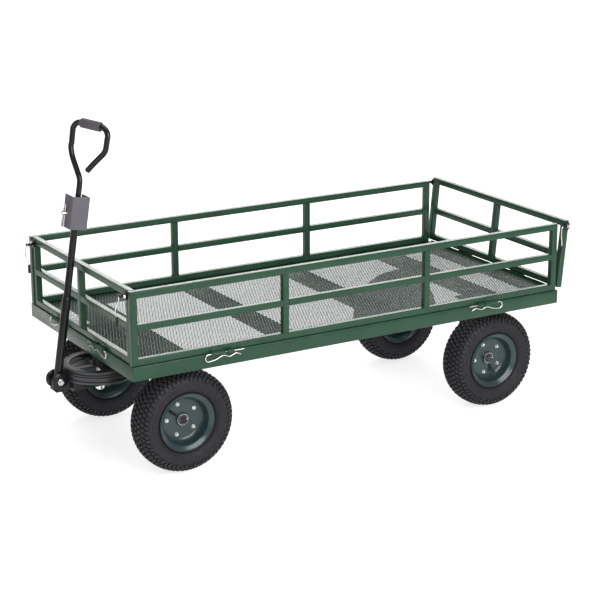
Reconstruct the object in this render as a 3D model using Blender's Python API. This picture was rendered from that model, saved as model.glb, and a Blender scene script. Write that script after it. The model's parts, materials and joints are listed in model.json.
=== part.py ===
"""A flat-bed garden tow cart: mesh deck, four fold-down rail panels, a turntable-steered
front axle, four pneumatic wheels and a two-in-one handle that doubles as a tow hitch.

Metres, +Z up. The handle end faces -Y and the tail +Y; the left side is +X. The origin is
on the ground, under the middle of the whole cart.
"""
from math import atan, cos, pi, radians, sin

import bmesh
import bpy
from mathutils import Matrix, Vector

# ---------------------------------------------------------------- driving dimensions
GAP = 0.0003  # clearance between pieces that rest on each other

DECK_LENGTH = 1.524
DECK_WIDTH = 0.750
DECK_TOP = 0.383
DECK_CENTRE_Y = 0.0317  # puts the origin under the middle of the cart's full length
APRON_HEIGHT = 0.043
SHEET = 0.003  # pressed-steel thickness
LEDGE_WIDTH = 0.032
MESH_THICKNESS = 0.003

PANEL_HEIGHT = 0.222
PANEL_TUBE = 0.020
MID_RAIL_HEIGHT = 0.113  # middle of the mid rail above the deck
HINGE_OFFSET = 0.006  # hinge axis outboard of the deck's side face
PANEL_INSET = 0.0034  # panel's outer face inboard of the deck's side face
REAR_LEAN = radians(5.5)  # how far the tail panel leans out when it is only latched loosely
KNUCKLE_RADIUS = 0.0056
CLIP_WIRE = 0.0019
CLIP_LENGTH = 0.128

WHEEL_RADIUS = 0.1587
WHEEL_TRACK = 0.2736  # wheel mid-plane from the cart's centre line
WHEEL_BASE_HALF = 0.5605
TYRE_HALF_WIDTH = 0.048
RIM_RADIUS = 0.0903
RIM_HALF_WIDTH = 0.0357
AXLE_RADIUS = 0.010

KINGPIN_Y = -0.700
RING_RADIUS = 0.115
RING_BAND = 0.026
RING_SIDES = 36
RING_SPLIT = 0.2695  # height of the sliding joint between the two turntable rings

TONGUE_Y = -0.838
TONGUE_Z = 0.249
TONGUE_LEAN = atan(0.1616)  # back towards the cart
EAR_RADIUS = 0.028
CLEVIS_BOTTOM = 0.467  # distances along the tow tube from its pivot
CLEVIS_TOP = 0.566
CLEVIS_SIZE = 0.057
HITCH_PIN_AT = 0.512
GRIP_TWIST = radians(23)  # the loop's plane about its own stem

HALF_L = DECK_LENGTH / 2
HALF_W = DECK_WIDTH / 2
FRAME_UNDER = DECK_TOP - APRON_HEIGHT
LEDGE_TOP = DECK_TOP - MESH_THICKNESS - GAP


# ---------------------------------------------------------------- scene and materials
def clear_scene():
    for ob in list(bpy.data.objects):
        bpy.data.objects.remove(ob, do_unlink=True)


def material(name, colour, roughness, metallic):
    mat = bpy.data.materials.new(name)
    mat.use_nodes = True
    shader = mat.node_tree.nodes["Principled BSDF"]
    shader.inputs["Base Color"].default_value = (*colour, 1.0)
    shader.inputs["Roughness"].default_value = roughness
    shader.inputs["Metallic"].default_value = metallic
    return mat


def empty(name, location, rotation=(0.0, 0.0, 0.0), parent=None):
    ob = bpy.data.objects.new(name, None)
    ob.location = location
    ob.rotation_euler = rotation
    ob.parent = parent
    bpy.context.collection.objects.link(ob)
    return ob


def finish(name, mesh, mat, parent, smooth=True):
    """Turn a finished mesh into a named node under its parent."""
    mesh.name = name
    mesh.materials.clear()
    mesh.materials.append(mat)
    if smooth:
        mesh.shade_smooth()
        mesh.set_sharp_from_angle(angle=radians(35))
    ob = bpy.data.objects.new(name, mesh)
    ob.parent = parent
    bpy.context.collection.objects.link(ob)
    return ob


# ---------------------------------------------------------------- solids
def mesh_from(bm):
    bmesh.ops.recalc_face_normals(bm, faces=bm.faces)
    mesh = bpy.data.meshes.new("solid")
    bm.to_mesh(mesh)
    bm.free()
    return mesh


def block(low, high):
    bm = bmesh.new()
    size = [h - l for l, h in zip(low, high)]
    middle = [(h + l) / 2 for l, h in zip(low, high)]
    place = Matrix.Translation(middle) @ Matrix.Diagonal((*size, 1.0))
    bmesh.ops.create_cube(bm, size=1.0, matrix=place)
    return mesh_from(bm)


def cylinder(start, end, radius, sides=20, end_radius=None):
    start, end = Vector(start), Vector(end)
    along = end - start
    turn = along.to_track_quat("Z", "Y").to_matrix().to_4x4()
    bm = bmesh.new()
    bmesh.ops.create_cone(
        bm, cap_ends=True, segments=sides, radius1=radius,
        radius2=radius if end_radius is None else end_radius, depth=along.length,
        matrix=Matrix.Translation((start + end) / 2) @ turn)
    return mesh_from(bm)


def prism(outline, axis, low, high):
    """Extrude a closed outline along x, y or z; its points hold the other two coordinates."""
    order = {"x": (1, 2), "y": (0, 2), "z": (0, 1)}[axis]
    k = "xyz".index(axis)
    bm = bmesh.new()
    rows = []
    for level in (low, high):
        row = []
        for point in outline:
            co = [0.0, 0.0, 0.0]
            co[order[0]], co[order[1]], co[k] = point[0], point[1], level
            row.append(bm.verts.new(co))
        rows.append(row)
    bm.faces.new(rows[0])
    bm.faces.new(rows[1])
    n = len(outline)
    for i in range(n):
        j = (i + 1) % n
        bm.faces.new((rows[0][i], rows[0][j], rows[1][j], rows[1][i]))
    return mesh_from(bm)


def ring(profile, sides, axis="x"):
    """Turn a closed profile of (along the axis, radius) points about the axis."""
    bm = bmesh.new()
    rows = []
    for i in range(sides):
        a = 2 * pi * i / sides
        c, s = cos(a), sin(a)
        if axis == "x":
            rows.append([bm.verts.new((u, r * c, r * s)) for u, r in profile])
        elif axis == "y":
            rows.append([bm.verts.new((r * s, u, r * c)) for u, r in profile])
        else:
            rows.append([bm.verts.new((r * c, r * s, u)) for u, r in profile])
    n = len(profile)
    for i in range(sides):
        here, there = rows[i], rows[(i + 1) % sides]
        for k in range(n):
            m = (k + 1) % n
            bm.faces.new((here[k], here[m], there[m], there[k]))
    return mesh_from(bm)


def tube_along(points, radius, resolution=2):
    """A round bar along a list of points, with flat ends."""
    curve = bpy.data.curves.new("bar", "CURVE")
    curve.dimensions = "3D"
    curve.bevel_depth = radius
    curve.bevel_resolution = resolution
    curve.use_fill_caps = True
    spline = curve.splines.new("POLY")
    spline.points.add(len(points) - 1)
    for slot, point in zip(spline.points, points):
        slot.co = (*point, 1.0)
    ob = bpy.data.objects.new("bar", curve)
    bpy.context.collection.objects.link(ob)
    bpy.context.view_layer.update()
    graph = bpy.context.evaluated_depsgraph_get()
    mesh = bpy.data.meshes.new_from_object(ob.evaluated_get(graph))
    bpy.data.objects.remove(ob)
    bm = bmesh.new()
    bm.from_mesh(mesh)
    bmesh.ops.remove_doubles(bm, verts=bm.verts, dist=1e-6)
    return mesh_from(bm)


def moved(mesh, offset=(0, 0, 0), turn=None):
    place = Matrix.Translation(offset)
    if turn:
        place = place @ Matrix.Rotation(turn[1], 4, turn[0])
    mesh.transform(place)
    return mesh


def fuse(solids, holes=()):
    """Union solids into one mesh, then cut the holes out of it."""
    base = bpy.data.objects.new("base", solids[0])
    bpy.context.collection.objects.link(base)
    tools = []
    for mesh, operation in [(m, "UNION") for m in solids[1:]] + [(m, "DIFFERENCE") for m in holes]:
        tool = bpy.data.objects.new("tool", mesh)
        tool.hide_render = True
        tool.display_type = "WIRE"
        bpy.context.collection.objects.link(tool)
        step = base.modifiers.new("join", "BOOLEAN")
        step.operation = operation
        step.solver = "EXACT"
        step.object = tool
        tools.append(tool)
    bpy.context.view_layer.update()
    graph = bpy.context.evaluated_depsgraph_get()
    mesh = bpy.data.meshes.new_from_object(base.evaluated_get(graph))
    for ob in [base, *tools]:
        bpy.data.objects.remove(ob)
    bm = bmesh.new()
    bm.from_mesh(mesh)
    bmesh.ops.remove_doubles(bm, verts=bm.verts, dist=1e-6)
    bmesh.ops.dissolve_limit(bm, angle_limit=radians(0.5), verts=bm.verts, edges=bm.edges)
    bmesh.ops.triangulate(bm, faces=bm.faces)
    return mesh_from(bm)


def arc(centre, radius, start, end, steps):
    """Points on an arc in a plane; angles in degrees."""
    out = []
    for i in range(steps + 1):
        a = radians(start + (end - start) * i / steps)
        out.append((centre[0] + radius * cos(a), centre[1] + radius * sin(a)))
    return out


# ---------------------------------------------------------------- hinges and their clips
HINGE_BOWS = {"side": 0.533, "end": 0.205}  # a clip's bow from the middle of its panel
PANEL_KNUCKLE = (0.067, 0.020)  # spans back from the bow
DECK_KNUCKLE = (0.094, 0.071)


def barrel(first, last):
    """A hinge barrel along x, centred on the hinge axis."""
    return cylinder((first, 0, 0), (last, 0, 0), KNUCKLE_RADIUS, 12)


def span(kind, side, knuckle):
    """A knuckle's two ends along the panel, on the side of the given sign."""
    ends = [side * (HINGE_BOWS[kind] - back) for back in knuckle]
    return min(ends), max(ends)


def bore(kind):
    """The hole for the clips, the whole way along one edge."""
    reach = HINGE_BOWS[kind] + 0.05
    return cylinder((-reach, 0, 0), (reach, 0, 0), CLIP_WIRE + 0.0009, 10)


def hinge_clip(side):
    """A spring hairpin. Its straight leg lies on the x axis and is the hinge's pin."""
    bow = 0.011
    wave = [(0.034, -0.0180), (0.055, -0.0100), (0.066, -0.0105), (0.080, -0.0155),
            (0.098, -0.0095), (0.106, -0.0098), (0.117, -0.0150)]
    points = [(CLIP_LENGTH, 0.0), (0.070, 0.0), (0.022, 0.0)]
    points += [(x, z) for x, z in arc((bow, -bow + 0.0005), bow, 75, 285, 6)]
    points += wave
    return [(side * -x, 0.0, z) for x, z in points]


# ---------------------------------------------------------------- deck
CROSS_MEMBERS = ((-0.594, 0.088), (-0.205, 0.046), (0.175, 0.046), (0.565, 0.052))
SADDLE = (0.085, -0.759, -0.545)  # half width, front and back of the turntable's mounting


def cross_member(y, width):
    """A channel under the mesh, open downwards."""
    low, high = y - width / 2, y + width / 2
    reach = HALF_W - SHEET / 2
    outer = block((-reach, low, FRAME_UNDER + 0.004), (reach, high, LEDGE_TOP))
    return outer, block((-reach + 0.02, low + SHEET, FRAME_UNDER - 0.01),
                        (reach - 0.02, high - SHEET, LEDGE_TOP - SHEET))


def deck_knuckles(place, kind):
    """The fixed hinge barrels of one edge, put where that edge's frame is."""
    solids = []
    for side in (-1, 1):
        first, last = span(kind, side, DECK_KNUCKLE)
        solids.append(barrel(first, last))
        solids.append(block((first, -HINGE_OFFSET - 0.001, -0.0055), (last, -0.0032, 0.0)))
    for mesh in solids:
        mesh.transform(place)
    return solids


def edge_frame(edge):
    """The frame of one edge's hinge: x along it, y outwards, z up, origin on the axis."""
    turns = {"left": -pi / 2, "right": pi / 2, "front": pi, "rear": 0.0}
    out = {"left": (HALF_W, 0), "right": (-HALF_W, 0), "front": (0, -HALF_L), "rear": (0, HALF_L)}
    x, y = out[edge]
    grow_x, grow_y = (x > 0) - (x < 0), (y > 0) - (y < 0)
    location = (x + grow_x * HINGE_OFFSET, y + grow_y * HINGE_OFFSET, DECK_TOP)
    return location, turns[edge]


def edge_kind(edge):
    return "side" if edge in ("left", "right") else "end"


def build_deck(paint, mesh_paint, parent):
    apron = fuse([block((-HALF_W, -HALF_L, FRAME_UNDER), (HALF_W, HALF_L, DECK_TOP))],
                 [block((-HALF_W + SHEET, -HALF_L + SHEET, FRAME_UNDER - 0.01),
                        (HALF_W - SHEET, HALF_L - SHEET, DECK_TOP + 0.01))])
    reach_x, reach_y = HALF_W - SHEET / 2, HALF_L - SHEET / 2
    ledge = fuse([block((-reach_x, -reach_y, LEDGE_TOP - SHEET), (reach_x, reach_y, LEDGE_TOP))],
                 [block((-HALF_W + LEDGE_WIDTH, -HALF_L + LEDGE_WIDTH, 0),
                        (HALF_W - LEDGE_WIDTH, HALF_L - LEDGE_WIDTH, 1))])
    parts, cuts = [apron, ledge], []
    for y, width in CROSS_MEMBERS:
        outer, inner = cross_member(y, width)
        parts.append(fuse([outer], [inner]))
    half, front, back = SADDLE
    for side in (-1, 1):
        low, high = sorted((side * half, side * (half - SHEET)))
        parts.append(block((low, front - 0.001, FRAME_UNDER), (high, back, LEDGE_TOP - 0.001)))
    parts.append(block((-half, front - 0.001, FRAME_UNDER), (half, back, FRAME_UNDER + SHEET)))
    cuts.append(cylinder((0, KINGPIN_Y, FRAME_UNDER - 0.01), (0, KINGPIN_Y, FRAME_UNDER + 0.02),
                         0.0085, 20))
    for edge in ("left", "right", "front", "rear"):
        location, turn = edge_frame(edge)
        place = Matrix.Translation(location) @ Matrix.Rotation(turn, 4, "Z")
        parts += deck_knuckles(place, edge_kind(edge))
        hole = bore(edge_kind(edge))
        hole.transform(place)
        cuts.append(hole)
    finish("deck_frame", fuse(parts, cuts), paint, parent)
    inset = SHEET + 0.0005
    sheet = block((-HALF_W + inset, -HALF_L + inset, DECK_TOP - MESH_THICKNESS),
                  (HALF_W - inset, HALF_L - inset, DECK_TOP))
    finish("mesh_deck", sheet, mesh_paint, parent, smooth=False)


# ---------------------------------------------------------------- rail panels
END_CLEARANCE = 0.0010
PANEL_REACH = {
    "left": (-HALF_L + 0.0005, HALF_L - 0.0065),
    "right": (-HALF_L + 0.0005, HALF_L - 0.0065),
    "front": (-HALF_W + PANEL_INSET + PANEL_TUBE + END_CLEARANCE,
              HALF_W - PANEL_INSET - PANEL_TUBE - END_CLEARANCE),
    "rear": (-HALF_W + 0.004, HALF_W - 0.004),
}
BAYS = {"side": 3, "end": 2}
LATCH_DROP = 0.018  # latch axis below the panel's top
LATCH_INSET = 0.014  # a front latch's eye from the end of its panel
LATCH_NAMES = {"front": {-1: "left", 1: "right"}, "rear": {-1: "right", 1: "left"}}
LATCH_ARMS = {  # the arm's two corners in the eye's frame; y is out from the face it's bolted to
    "front": ((0.0010, 0.0042, -0.0050), (0.0095, 0.0300, 0.0050)),
    "rear": ((0.0040, 0.0020, -0.0050), (0.0225, 0.0170, 0.0050)),
}
LEVER_AXES = {"front": (0.0, 0.0250), "rear": (0.0100, 0.0125)}
LEVER_PATHS = {
    "front": ((0.0080, 0.0, 0.0), (-0.0015, 0.0, 0.0), (-0.0040, 0.0, -0.0030),
              (-0.0045, 0.0010, -0.0100), (-0.0020, 0.0050, -0.0240), (0.0060, 0.0060, -0.0380),
              (0.0120, 0.0020, -0.0520), (0.0130, 0.0, -0.0660)),
    "rear": ((0.0022, 0.0, 0.0), (0.0132, 0.0, 0.0), (0.0165, 0.0, -0.0035),
             (0.0170, 0.0, -0.0100), (0.0150, 0.0, -0.0300), (0.0105, 0.0, -0.0520),
             (0.0095, 0.0, -0.0700)),
}
SLEEVE_SPAN = (0.062, 0.090)  # below the lever's axis
LATCH_MIRRORED = {"front": 1, "rear": -1}


def panel_section(edge):
    """Inner and outer faces and the foot of a panel, measured from its hinge axis."""
    if edge == "rear":
        return -0.008, PANEL_TUBE - 0.008, KNUCKLE_RADIUS + 0.0020
    outer = -HINGE_OFFSET - PANEL_INSET
    return outer - PANEL_TUBE, outer, 0.0005


def panel_top(edge):
    return PANEL_HEIGHT + (panel_section(edge)[2] if edge == "rear" else 0.0)


def panel_posts(edge, first, last):
    """Middles of the upright tubes along a panel."""
    bays = BAYS[edge_kind(edge)]
    start, end = first + PANEL_TUBE / 2, last - PANEL_TUBE / 2
    posts = [start + (end - start) * i / bays for i in range(bays + 1)]
    if edge_kind(edge) == "side":
        direction = -1 if edge == "left" else 1
        posts[1:-1] = sorted(direction * y for y in (-0.2555, 0.2500))
    return posts


def panel_frame(edge):
    first, last = PANEL_REACH[edge]
    if edge == "left":
        first, last = -last, -first
    inner, outer, foot = panel_section(edge)
    top = panel_top(edge)
    levels = (foot + PANEL_TUBE / 2, MID_RAIL_HEIGHT, top - PANEL_TUBE / 2)
    solids = [block((first, inner, z - PANEL_TUBE / 2), (last, outer, z + PANEL_TUBE / 2))
              for z in levels]
    for x in panel_posts(edge, first, last):
        solids.append(block((x - PANEL_TUBE / 2, inner, foot), (x + PANEL_TUBE / 2, outer, top)))
    kind = edge_kind(edge)
    for side in (-1, 1):
        a, b = span(kind, side, PANEL_KNUCKLE)
        solids.append(barrel(a, b))
        if edge == "rear":
            solids.append(block((a, -0.0020, 0.0030), (b, 0.0050, foot + 0.001)))
        else:
            solids.append(block((a, outer - 0.001, 0.0008), (b, -0.0030, 0.0054)))
            solids.append(block((a + 0.004, outer - 0.001, 0.0008),
                                (b - 0.004, outer + 0.0028, 0.0165)))
    return fuse(solids, [bore(kind)])


def latch_bracket(edge):
    """A forged eye bolted to a corner post, with an arm that carries the lever."""
    axis_x, axis_y = LEVER_AXES[edge]
    plate = prism(arc((0, 0), 0.013, 0, 360 - 24, 14), "y", 0.0005, 0.0065)
    neck = block((-0.0125, 0.0006, -0.009), (0.0, 0.0062, 0.009))
    arm = block(*LATCH_ARMS[edge])
    bolt = cylinder((-0.004, 0.002, 0), (-0.004, 0.0105, 0), 0.0058, 12)
    hole = cylinder((axis_x - 0.002, axis_y, 0.0), (axis_x + 0.02, axis_y, 0.0), 0.0026, 10)
    return fuse([plate, neck, arm, bolt], [hole])


def latch_lever(edge):
    """A zinc wire that hangs from the arm, its lower end dipped in black vinyl."""
    path = LEVER_PATHS[edge]
    bar = tube_along(path, 0.0017, 1)
    x, y = path[-1][:2]
    sleeve = cylinder((x, y, -SLEEVE_SPAN[0]), (x, y, -SLEEVE_SPAN[1]), 0.0042, 12)
    return fuse([bar, sleeve])


def latch_seat(edge, side):
    """A latch's place in its panel's frame, and its turn about the vertical."""
    last = PANEL_REACH[edge][1]
    inner, outer = panel_section(edge)[:2]
    level = panel_top(edge) - LATCH_DROP
    if edge == "front":
        return (side * (last - LATCH_INSET), outer, level), 0.0
    return (side * last, (inner + outer) / 2 - 0.001, level), -side * pi / 2


def build_latch(edge, side, mats, swing):
    """One eye and its lever; the two ends of a panel mirror each other."""
    name = f"{edge}_latch_{LATCH_NAMES[edge][side]}"
    place, turn = latch_seat(edge, side)
    seat = empty(f"{name}_seat", place, (0, 0, turn), swing)
    eye = latch_bracket(edge)
    lever = moved(latch_lever(edge), (*LEVER_AXES[edge], 0))
    if side == LATCH_MIRRORED[edge]:
        for mesh in (eye, lever):
            mesh.transform(Matrix.Diagonal((-1, 1, 1, 1)))
            mesh.flip_normals()
    finish(f"{name}_eye", eye, mats["black"], seat)
    finish(f"{name}_lever", lever, mats["zinc"], seat)


def build_panel(edge, mats, cart):
    location, turn = edge_frame(edge)
    axis = empty(f"{edge}_hinge_line", location, (0, 0, turn), cart)
    lean = -REAR_LEAN if edge == "rear" else 0.0
    swing = empty(f"{edge}_panel_swing", (0, 0, 0), (lean, 0, 0), axis)
    finish(f"{edge}_panel", panel_frame(edge), mats["paint"], swing, smooth=False)
    for side, label in ((-1, "a"), (1, "b")):
        bow = empty(f"{edge}_clip_seat_{label}", (side * HINGE_BOWS[edge_kind(edge)], 0, 0),
                    parent=axis)
        wire = tube_along(hinge_clip(side), CLIP_WIRE, 1)
        finish(f"{edge}_clip_{label}", wire, mats["zinc"], bow)
        if edge in LATCH_NAMES:
            build_latch(edge, side, mats, swing)


# ---------------------------------------------------------------- wheels
WHEEL_SIDES = 24  # facets round a tyre and its rim
WEB_AT = -0.004  # the rim's flat web from the wheel's mid-plane, negative is inboard
HUB_RADIUS = 0.019
BEARING_RADIUS = 0.0145
HUB_END = 0.008
AXLE_END = HUB_END + 0.005


def tyre_profile():
    """Bead, sidewall, shoulder and crown; the same on both sides."""
    half = [(0.0288, 0.0780), (0.0334, 0.0925), (0.0440, 0.1010), (TYRE_HALF_WIDTH, 0.1180),
            (0.0450, 0.1400), (0.0300, WHEEL_RADIUS)]
    return half + [(-u, r) for u, r in reversed(half)]


def rim_profile():
    """The rim's well, its two flanges, the flat web and the hub tube, as one turned section."""
    seat, wall = 0.0770, 0.0030
    edge = RIM_HALF_WIDTH
    return [
        (HUB_END, BEARING_RADIUS + GAP), (HUB_END, HUB_RADIUS), (WEB_AT + wall, HUB_RADIUS),
        (WEB_AT + wall, 0.0660), (edge - 0.007, seat - wall), (edge + 0.003, RIM_RADIUS - 0.001),
        (edge - 0.0012, RIM_RADIUS), (edge - 0.0060, seat),
        (-edge + 0.0060, seat), (-edge + 0.0012, RIM_RADIUS), (-edge - 0.003, RIM_RADIUS - 0.001),
        (-edge + 0.007, seat - wall), (WEB_AT, 0.0660), (WEB_AT, HUB_RADIUS),
        (-0.050, HUB_RADIUS), (-0.050, BEARING_RADIUS + GAP)]


def build_wheel(name, side, centre, mats, parent):
    """One wheel; its own x axis points outboard."""
    turn = 0.0 if side > 0 else pi
    hub = empty(f"{name}_hub_axis", centre, (0, 0, turn), parent)
    finish(f"{name}_tyre", ring(tyre_profile(), WHEEL_SIDES), mats["rubber"], hub)
    finish(f"{name}_rim", ring(rim_profile(), WHEEL_SIDES), mats["rim"], hub)
    inner_end, outer_end = HUB_END - 0.0130, HUB_END - 0.0015
    race = [(inner_end, AXLE_RADIUS + GAP), (inner_end, BEARING_RADIUS),
            (outer_end, BEARING_RADIUS), (outer_end, AXLE_RADIUS + GAP)]
    finish(f"{name}_bearing", ring(race, 16), mats["steel"], hub)
    face, back = HUB_END + 0.0028, HUB_END + 0.0005
    collar = [(back, AXLE_RADIUS + GAP), (back, 0.0160), (face, 0.0150),
              (face, AXLE_RADIUS + GAP)]
    finish(f"{name}_retainer", ring(collar, 16), mats["zinc"], hub)


# ---------------------------------------------------------------- turntable and steering
FRAME_CHANNEL = 0.026  # half width of the yoke's channel
CHANNEL_LOW, CHANNEL_TOP = 0.214, 0.2465
BEAM_HALF = 0.019
BEAM_REACH = 0.205
KNUCKLE_X = 0.185  # steering knuckles' pivots from the centre line
STEER_ARM = 0.060  # the same on the yoke and the knuckles, so the linkage is a parallelogram
ROD_LEVELS = {"left": 0.2385, "right": 0.2320}  # rod eyes, stacked on the yoke's one pin
ARM_EYE_LEVEL = 0.2320
EYE_HALF = 0.003
EYE_RADIUS = 0.010
ROD_RADIUS = 0.0028
ROD_PIN = 0.0035
PIN_CLEARANCE = 0.0007


def ring_section(low, high):
    """A race ring with a lip and a groove round its rim."""
    inner, outer = RING_RADIUS - RING_BAND, RING_RADIUS
    third = (high - low) / 3
    return [(low, inner), (high, inner), (high, outer), (high - third, outer),
            (high - third, outer - 0.004), (low + third, outer - 0.004), (low + third, outer),
            (low, outer)]


def build_turntable(mats, cart, steer):
    """The fixed upper race hangs from the deck on its hub and two legs."""
    low, high = RING_SPLIT + 0.0005, 0.2860
    reach = RING_RADIUS - RING_BAND + 0.004
    plate = (low + 0.001, low + 0.006)
    top = FRAME_UNDER - GAP
    solids = [ring(ring_section(low, high), RING_SIDES, "z"),
              block((-0.014, -reach, plate[0]), (0.014, reach, plate[1])),
              block((-reach, -0.014, plate[0]), (reach, 0.014, plate[1])),
              cylinder((0, 0, low + 0.0008), (0, 0, top), 0.020, 24)]
    for side in (-1, 1):
        solids.append(block((side * 0.070 - 0.010, 0.055, high - 0.004),
                            (side * 0.070 + 0.010, 0.075, top)))
    hole = cylinder((0, 0, 0.2), (0, 0, 0.4), 0.0085, 20)
    upper = moved(fuse(solids, [hole]), (0, KINGPIN_Y, 0))
    finish("turntable_upper_race", upper, mats["black"], cart)
    lower = ring(ring_section(CHANNEL_TOP + GAP, RING_SPLIT - 0.0005), RING_SIDES, "z")
    finish("turntable_lower_race", lower, mats["black"], steer)
    pin_low = 0.1960
    shank = cylinder((0, KINGPIN_Y, pin_low), (0, KINGPIN_Y, FRAME_UNDER + 0.006), 0.008, 20)
    head = cylinder((0, KINGPIN_Y, FRAME_UNDER + SHEET + GAP),
                    (0, KINGPIN_Y, FRAME_UNDER + 0.012), 0.0135, 6)
    finish("kingpin_bolt", fuse([shank, head]), mats["zinc"], cart)
    nut = ring([(0.1990, 0.0083), (0.1990, 0.0130), (0.2090, 0.0130), (0.2100, 0.0165),
                (0.2125, 0.0165), (0.2125, 0.0083)], 18, "z")
    finish("kingpin_nut", moved(nut, (0, KINGPIN_Y, 0)), mats["zinc"], cart)


def build_yoke(mats, steer):
    """Channel, tail for the tie rods and the handle's two ears, in the kingpin's own frame."""
    ear_y, ear_z = TONGUE_Y - KINGPIN_Y, TONGUE_Z
    w = FRAME_CHANNEL
    channel = fuse([block((-w, -0.100, CHANNEL_LOW), (w, 0.040, CHANNEL_TOP))],
                   [block((-w + 0.004, -0.090, CHANNEL_LOW - 0.01),
                          (w - 0.004, 0.030, CHANNEL_TOP - 0.004))])
    solids = [channel, block((-0.014, 0.030, CHANNEL_TOP - 0.0045), (0.014, 0.076, CHANNEL_TOP))]
    for side in (-1, 1):
        low, high = sorted((side * 0.0200, side * w))
        solids.append(cylinder((low, ear_y, ear_z), (high, ear_y, ear_z), EAR_RADIUS, 24))
        solids.append(block((low, ear_y, 0.2225), (high, -0.085, CHANNEL_TOP)))
    solids.append(block((-w, ear_y - 0.016, 0.2180), (w, ear_y + 0.012, 0.2225)))
    holes = [
        cylinder((0, 0, 0.19), (0, 0, 0.26), 0.0085, 20),
        cylinder((-0.05, ear_y, ear_z), (0.05, ear_y, ear_z), 0.0064, 16),
        cylinder((0, 0, CHANNEL_TOP), (0, 0, 0.30), RING_RADIUS + 0.0010, RING_SIDES),
        cylinder((0, STEER_ARM, 0.2), (0, STEER_ARM, 0.26), ROD_PIN + GAP, 16)]
    finish("steering_yoke", fuse(solids, holes), mats["black"], steer)
    bolt_reach = w + 0.013
    bolt = [cylinder((-bolt_reach, ear_y, ear_z), (w + 0.004, ear_y, ear_z), 0.006, 16)]
    for side in (-1, 1):
        bolt.append(cylinder((side * (w + GAP), ear_y, ear_z), (side * (w + 0.0085), ear_y, ear_z),
                             0.0098, 6))
    finish("handle_pivot_bolt", fuse(bolt), mats["zinc"], steer)
    pin_low = min(ROD_LEVELS.values()) - EYE_HALF - 0.0012
    pin = fuse([cylinder((0, STEER_ARM, pin_low - 0.003), (0, STEER_ARM, CHANNEL_TOP - 0.001),
                         ROD_PIN, 16),
                cylinder((0, STEER_ARM, pin_low - 0.004), (0, STEER_ARM, pin_low), 0.0075, 6)])
    finish("tie_rod_pin", pin, mats["zinc"], steer)


def build_tie_rod(name, side, mats, rod):
    """A rod from the yoke's pin to a stud in the knuckle's arm; its origin is the pin."""
    end = Vector((side * KNUCKLE_X, -WHEEL_BASE_HALF - KINGPIN_Y, 0))
    near = ROD_LEVELS[name]
    start_eye = cylinder((0, 0, near - EYE_HALF), (0, 0, near + EYE_HALF), EYE_RADIUS, 20)
    end_eye = cylinder((end.x, end.y, ARM_EYE_LEVEL - EYE_HALF),
                       (end.x, end.y, ARM_EYE_LEVEL + EYE_HALF), EYE_RADIUS, 20)
    reach = end.normalized() * 0.007
    bar = cylinder((reach.x, reach.y, near), (end.x - reach.x, end.y - reach.y, ARM_EYE_LEVEL),
                   ROD_RADIUS, 12)
    stud = cylinder((end.x, end.y, ARM_EYE_LEVEL - 0.0120), (end.x, end.y, ARM_EYE_LEVEL),
                    ROD_PIN, 12)
    hole = cylinder((0, 0, 0.2), (0, 0, 0.26), ROD_PIN + PIN_CLEARANCE, 16)
    finish(f"tie_rod_{name}", fuse([start_eye, end_eye, bar, stud], [hole]), mats["steel"], rod)


def build_knuckle(name, side, mats, knuckle):
    """Kingpin, block, steering arm and stub axle of one front wheel; its origin is its pivot."""
    arm_top = ARM_EYE_LEVEL - EYE_HALF - 0.0006
    arm = (arm_top - 0.006, arm_top)
    solids = [
        cylinder((0, 0, 0.240), (0, 0, FRAME_UNDER - 0.002), 0.008, 16),
        block((-0.014, -0.014, 0.135), (0.014, 0.014, 0.2613)),
        cylinder((0, 0, WHEEL_RADIUS),
                 (side * (WHEEL_TRACK - KNUCKLE_X + AXLE_END), 0, WHEEL_RADIUS), AXLE_RADIUS, 20),
        block((-0.0085, 0.010, arm[0]), (0.0085, STEER_ARM, arm[1])),
        cylinder((0, STEER_ARM, arm[0]), (0, STEER_ARM, arm[1]), 0.0095, 16)]
    hole = cylinder((0, STEER_ARM, 0.2), (0, STEER_ARM, 0.24), ROD_PIN + PIN_CLEARANCE, 16)
    finish(f"steering_knuckle_{name}", fuse(solids, [hole]), mats["black"], knuckle)


def build_front_beam(mats, cart):
    """A box beam under the deck with an upright sleeve for each knuckle."""
    y, top = -WHEEL_BASE_HALF, FRAME_UNDER - GAP
    solids = [block((-BEAM_REACH, y - BEAM_HALF, top - 2 * BEAM_HALF),
                    (BEAM_REACH, y + BEAM_HALF, top))]
    holes = []
    for side in (-1, 1):
        x = side * KNUCKLE_X
        solids.append(cylinder((x, y, 0.2620), (x, y, top - 0.001), 0.018, 20))
        holes.append(cylinder((x, y, 0.25), (x, y, 0.35), 0.0085, 20))
    finish("front_axle_beam", fuse(solids, holes), mats["paint"], cart)


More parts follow.
